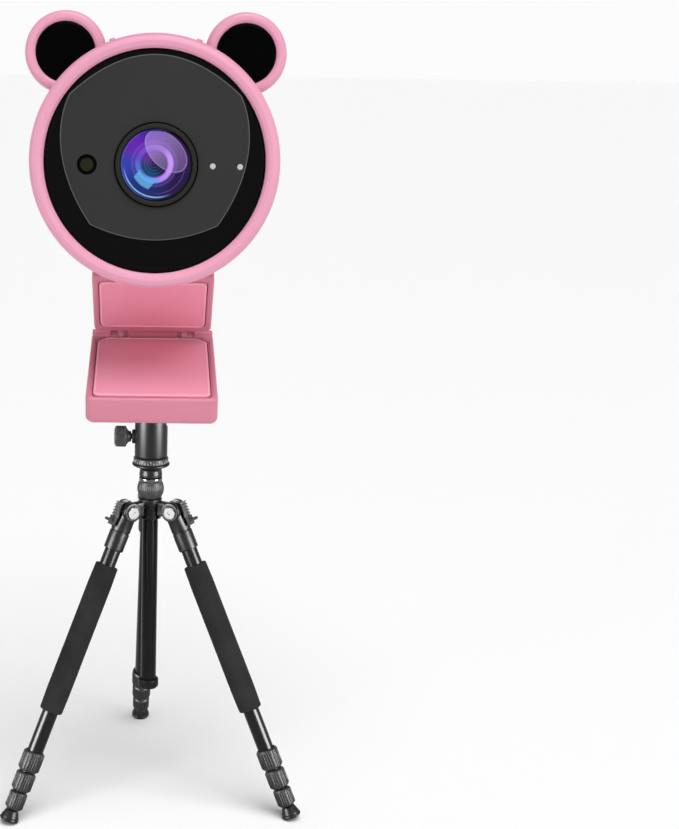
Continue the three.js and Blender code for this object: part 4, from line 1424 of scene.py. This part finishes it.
def mask_outline():
    """The printed mask's edge: an arched top, bulging sides and a shallow curved chin."""
    return (bezier([(-21.5, 16.6), (0, 36.4), (21.5, 16.6)], 40)
            + bezier([(21.5, 16.6), (25.4, 8.6), (24.8, -3.4), (16.2, -15.8)], 40)
            + bezier([(16.2, -15.8), (0, -23.4), (-16.2, -15.8)], 32)
            + bezier([(-16.2, -15.8), (-24.8, -3.4), (-25.4, 8.6), (-21.5, 16.6)], 40))


def through_hole(radius, x, z, where, sides):
    """A cutter that goes right through the front panel and its mask."""
    return shaped("hole", rod(radius, -2, 8, sides, "y", (x, 0, z)), where)


def scaled_rings(outline, profile):
    """The outline once for each (share, depth) pair, scaled by share."""
    return [[(x * share, depth, z * share) for x, z in outline] for share, depth in profile]


def front_panel(where):
    """The black disc, the charcoal mask printed on it and the mask's pale border, a painted highlight along
    the mask's edge.
    """
    panel = shaped("front_panel_disc", turned([
        (0, 1.5, 0), (27.6, 1.5, 0.1), (27.8, 1.65, 0.1), (27.8, 2.9, 0), (0, 2.9, 0)], 160, "y"), where)
    carved(panel, [through_hole(LENS_HOLE_RADIUS, *LENS_MIDDLE, where, SIDES)])
    finished(panel, PANEL, "panel_black", "head", "front_panel")
    outline = mask_outline()
    rings = scaled_rings(outline, ((0.994, 1.5), (1.0, 1.44), (1.0, 1.18), (0.994, 1.1)))
    mask = shaped("mask_print", lofted(rings), where)
    carved(mask, [through_hole(LENS_HOLE_RADIUS, *LENS_MIDDLE, where, SIDES),
                  through_hole(2.55, *WINDOW_MIDDLE, where, KNUCKLE_SIDES)])
    finished(mask, MASK, "mask_grey", "head", "mask_panel")
    # The pale border is a painted highlight along the mask's edge.
    rings = scaled_rings(outline, (
        (1.004, 1.42), (1.004, 1.1), (1.0, 1.06), (0.994, 1.06), (0.993, 1.09), (0.993, 1.42)))
    border = shaped("mask_border", lofted(rings, closed=True), where)
    finished(border, MASK_EDGE_HIGHLIGHT, "mask_grey", "head")


def sensor_window(where):
    """The light sensor's dark rim and olive lens."""
    x, z = WINDOW_MIDDLE
    rim = shaped("sensor_rim", turned([
        (1.7, 1.45, 0), (1.75, 1.0, 0.1), (2.1, 0.95, 0.1), (2.5, 1.05, 0.05), (2.5, 1.45, 0)],
        LEG_SIDES, "y", closed=True, middle=(x, 0, z)), where)
    finished(rim, WINDOW_DARK, "sensor_window", "head", "light_sensor_window")
    eye = shaped("sensor_eye", turned([
        (0, 1.05, 0), (1.2, 1.08, 0.3), (1.8, 1.2, 0.1), (1.8, 1.4, 0), (0, 1.4, 0)],
        LEG_SIDES, "y", middle=(x, 0, z)), where)
    finished(eye, WINDOW_OLIVE, "sensor_window", "head", "light_sensor_window")


def indicators(where):
    for number, (x, z) in enumerate(INDICATORS, 1):
        dot = shaped(f"indicator_{number}", turned([
            (0, 1.0, 0), (0.5, 1.02, 0.2), (0.78, 1.12, 0.05), (0.78, 1.3, 0), (0, 1.3, 0)], 32, "y",
            middle=(x, 0, z)), where)
        finished(dot, DOT, "mask_grey", "head")


def lens_bezel(here):
    """The olive ring round the lens and the thin black ring in the groove outside it, a painted shade of the
    groove.
    """
    bezel = shaped("lens_bezel_ring", turned([
        (9.15, 0.95, 0), (9.15, 0.25, 0.1), (9.25, 0.12, 0.1), (9.5, 0.0, 0.2), (10.1, 0.1, 0.3),
        (10.3, 0.35, 0.05), (10.35, 0.95, 0)], LENS_SIDES, "y", closed=True), here)
    finished(bezel, BEZEL, "mask_grey", "head", "lens_bezel")
    # A black ring set in the groove outside the bezel: a painted shade of the groove.
    line = shaped("lens_bezel_line", turned([
        (10.33, 0.95, 0), (10.33, 0.55, 0.05), (10.65, 0.55, 0.05), (10.65, 1.1, 0)],
        LENS_SIDES, "y", closed=True), here)
    finished(line, EAR_BLACK, "ear_black", "head", "lens_bezel")


def lens_barrel(here):
    barrel = shaped("lens_barrel_tube", turned([
        (0, 3.2, 0), (7.6, 3.2, 0.1), (8.3, 1.3, 0.1), (8.7, 1.3, 0.05), (8.7, 9.4, 0.2), (0, 9.4, 0)],
        SIDES, "y"), here)
    finished(barrel, BARREL, "lens_black", "head", "lens_barrel")


def lens_glass(here):
    """The coated dome. Its flat coordinates run from -1 to 1 across the glass."""
    coated = shaped("lens_glass_dome", turned([
        (0, -0.5, 0), (3, -0.38, 2), (6, -0.02, 2), (8.7, 0.42, 0.2), (GLASS_RADIUS, 0.55, 0.1),
        (GLASS_RADIUS, 0.95, 0.05), (8.75, 0.95, 0), (8.75, 1.2, 0), (0, 1.2, 0)],
        LENS_SIDES, "y"), here)
    layer = coated.data.uv_layers.new(name="face")
    back = here.inverted()
    for loop in coated.data.loops:
        point = back @ coated.data.vertices[loop.vertex_index].co
        layer.data[loop.index].uv = (point.x / GLASS_RADIUS, point.z / GLASS_RADIUS)
    finished(coated, LENS_PAINT, "lens_glass", "head", "lens_glass")


def lens(where):
    x, z = LENS_MIDDLE
    here = where @ Matrix.Translation((x, 0, z))
    lens_bezel(here)
    lens_barrel(here)
    lens_glass(here)


def main_board(where):
    board = shaped("main_board_disc", rod(18, 9.8, 10.8, SIDES, "y"), where)
    finished(board, BOARD, "circuit_board", "head", "main_board")


studio_camera()
studio()
for leg_side in LEG_NAMES:
    leg(leg_side)
COLUMN_PLACE = column_place()
crown(COLUMN_PLACE)
collar(COLUMN_PLACE)
column(COLUMN_PLACE)
pan_base(COLUMN_PLACE)
ball_housing(COLUMN_PLACE)
clamp_knob(COLUMN_PLACE)
tilt_ball(COLUMN_PLACE)
BALL_PLACE = ball_place()
platform(BALL_PLACE)
clip_base(BALL_PLACE)
clip_base_pad(BALL_PLACE)
clip_hinge_pin(BALL_PLACE)
LEAF_PLACE = leaf_place()
clip_leaf(LEAF_PLACE)
clip_leaf_pad(LEAF_PLACE)
swivel_post(LEAF_PLACE)
HEAD_PLACE = head_place()
rear_housing(HEAD_PLACE)
housing_screws(HEAD_PLACE)
ear_pads(HEAD_PLACE)
front_ring(HEAD_PLACE)
front_panel(HEAD_PLACE)
sensor_window(HEAD_PLACE)
indicators(HEAD_PLACE)
lens(HEAD_PLACE)
main_board(HEAD_PLACE)
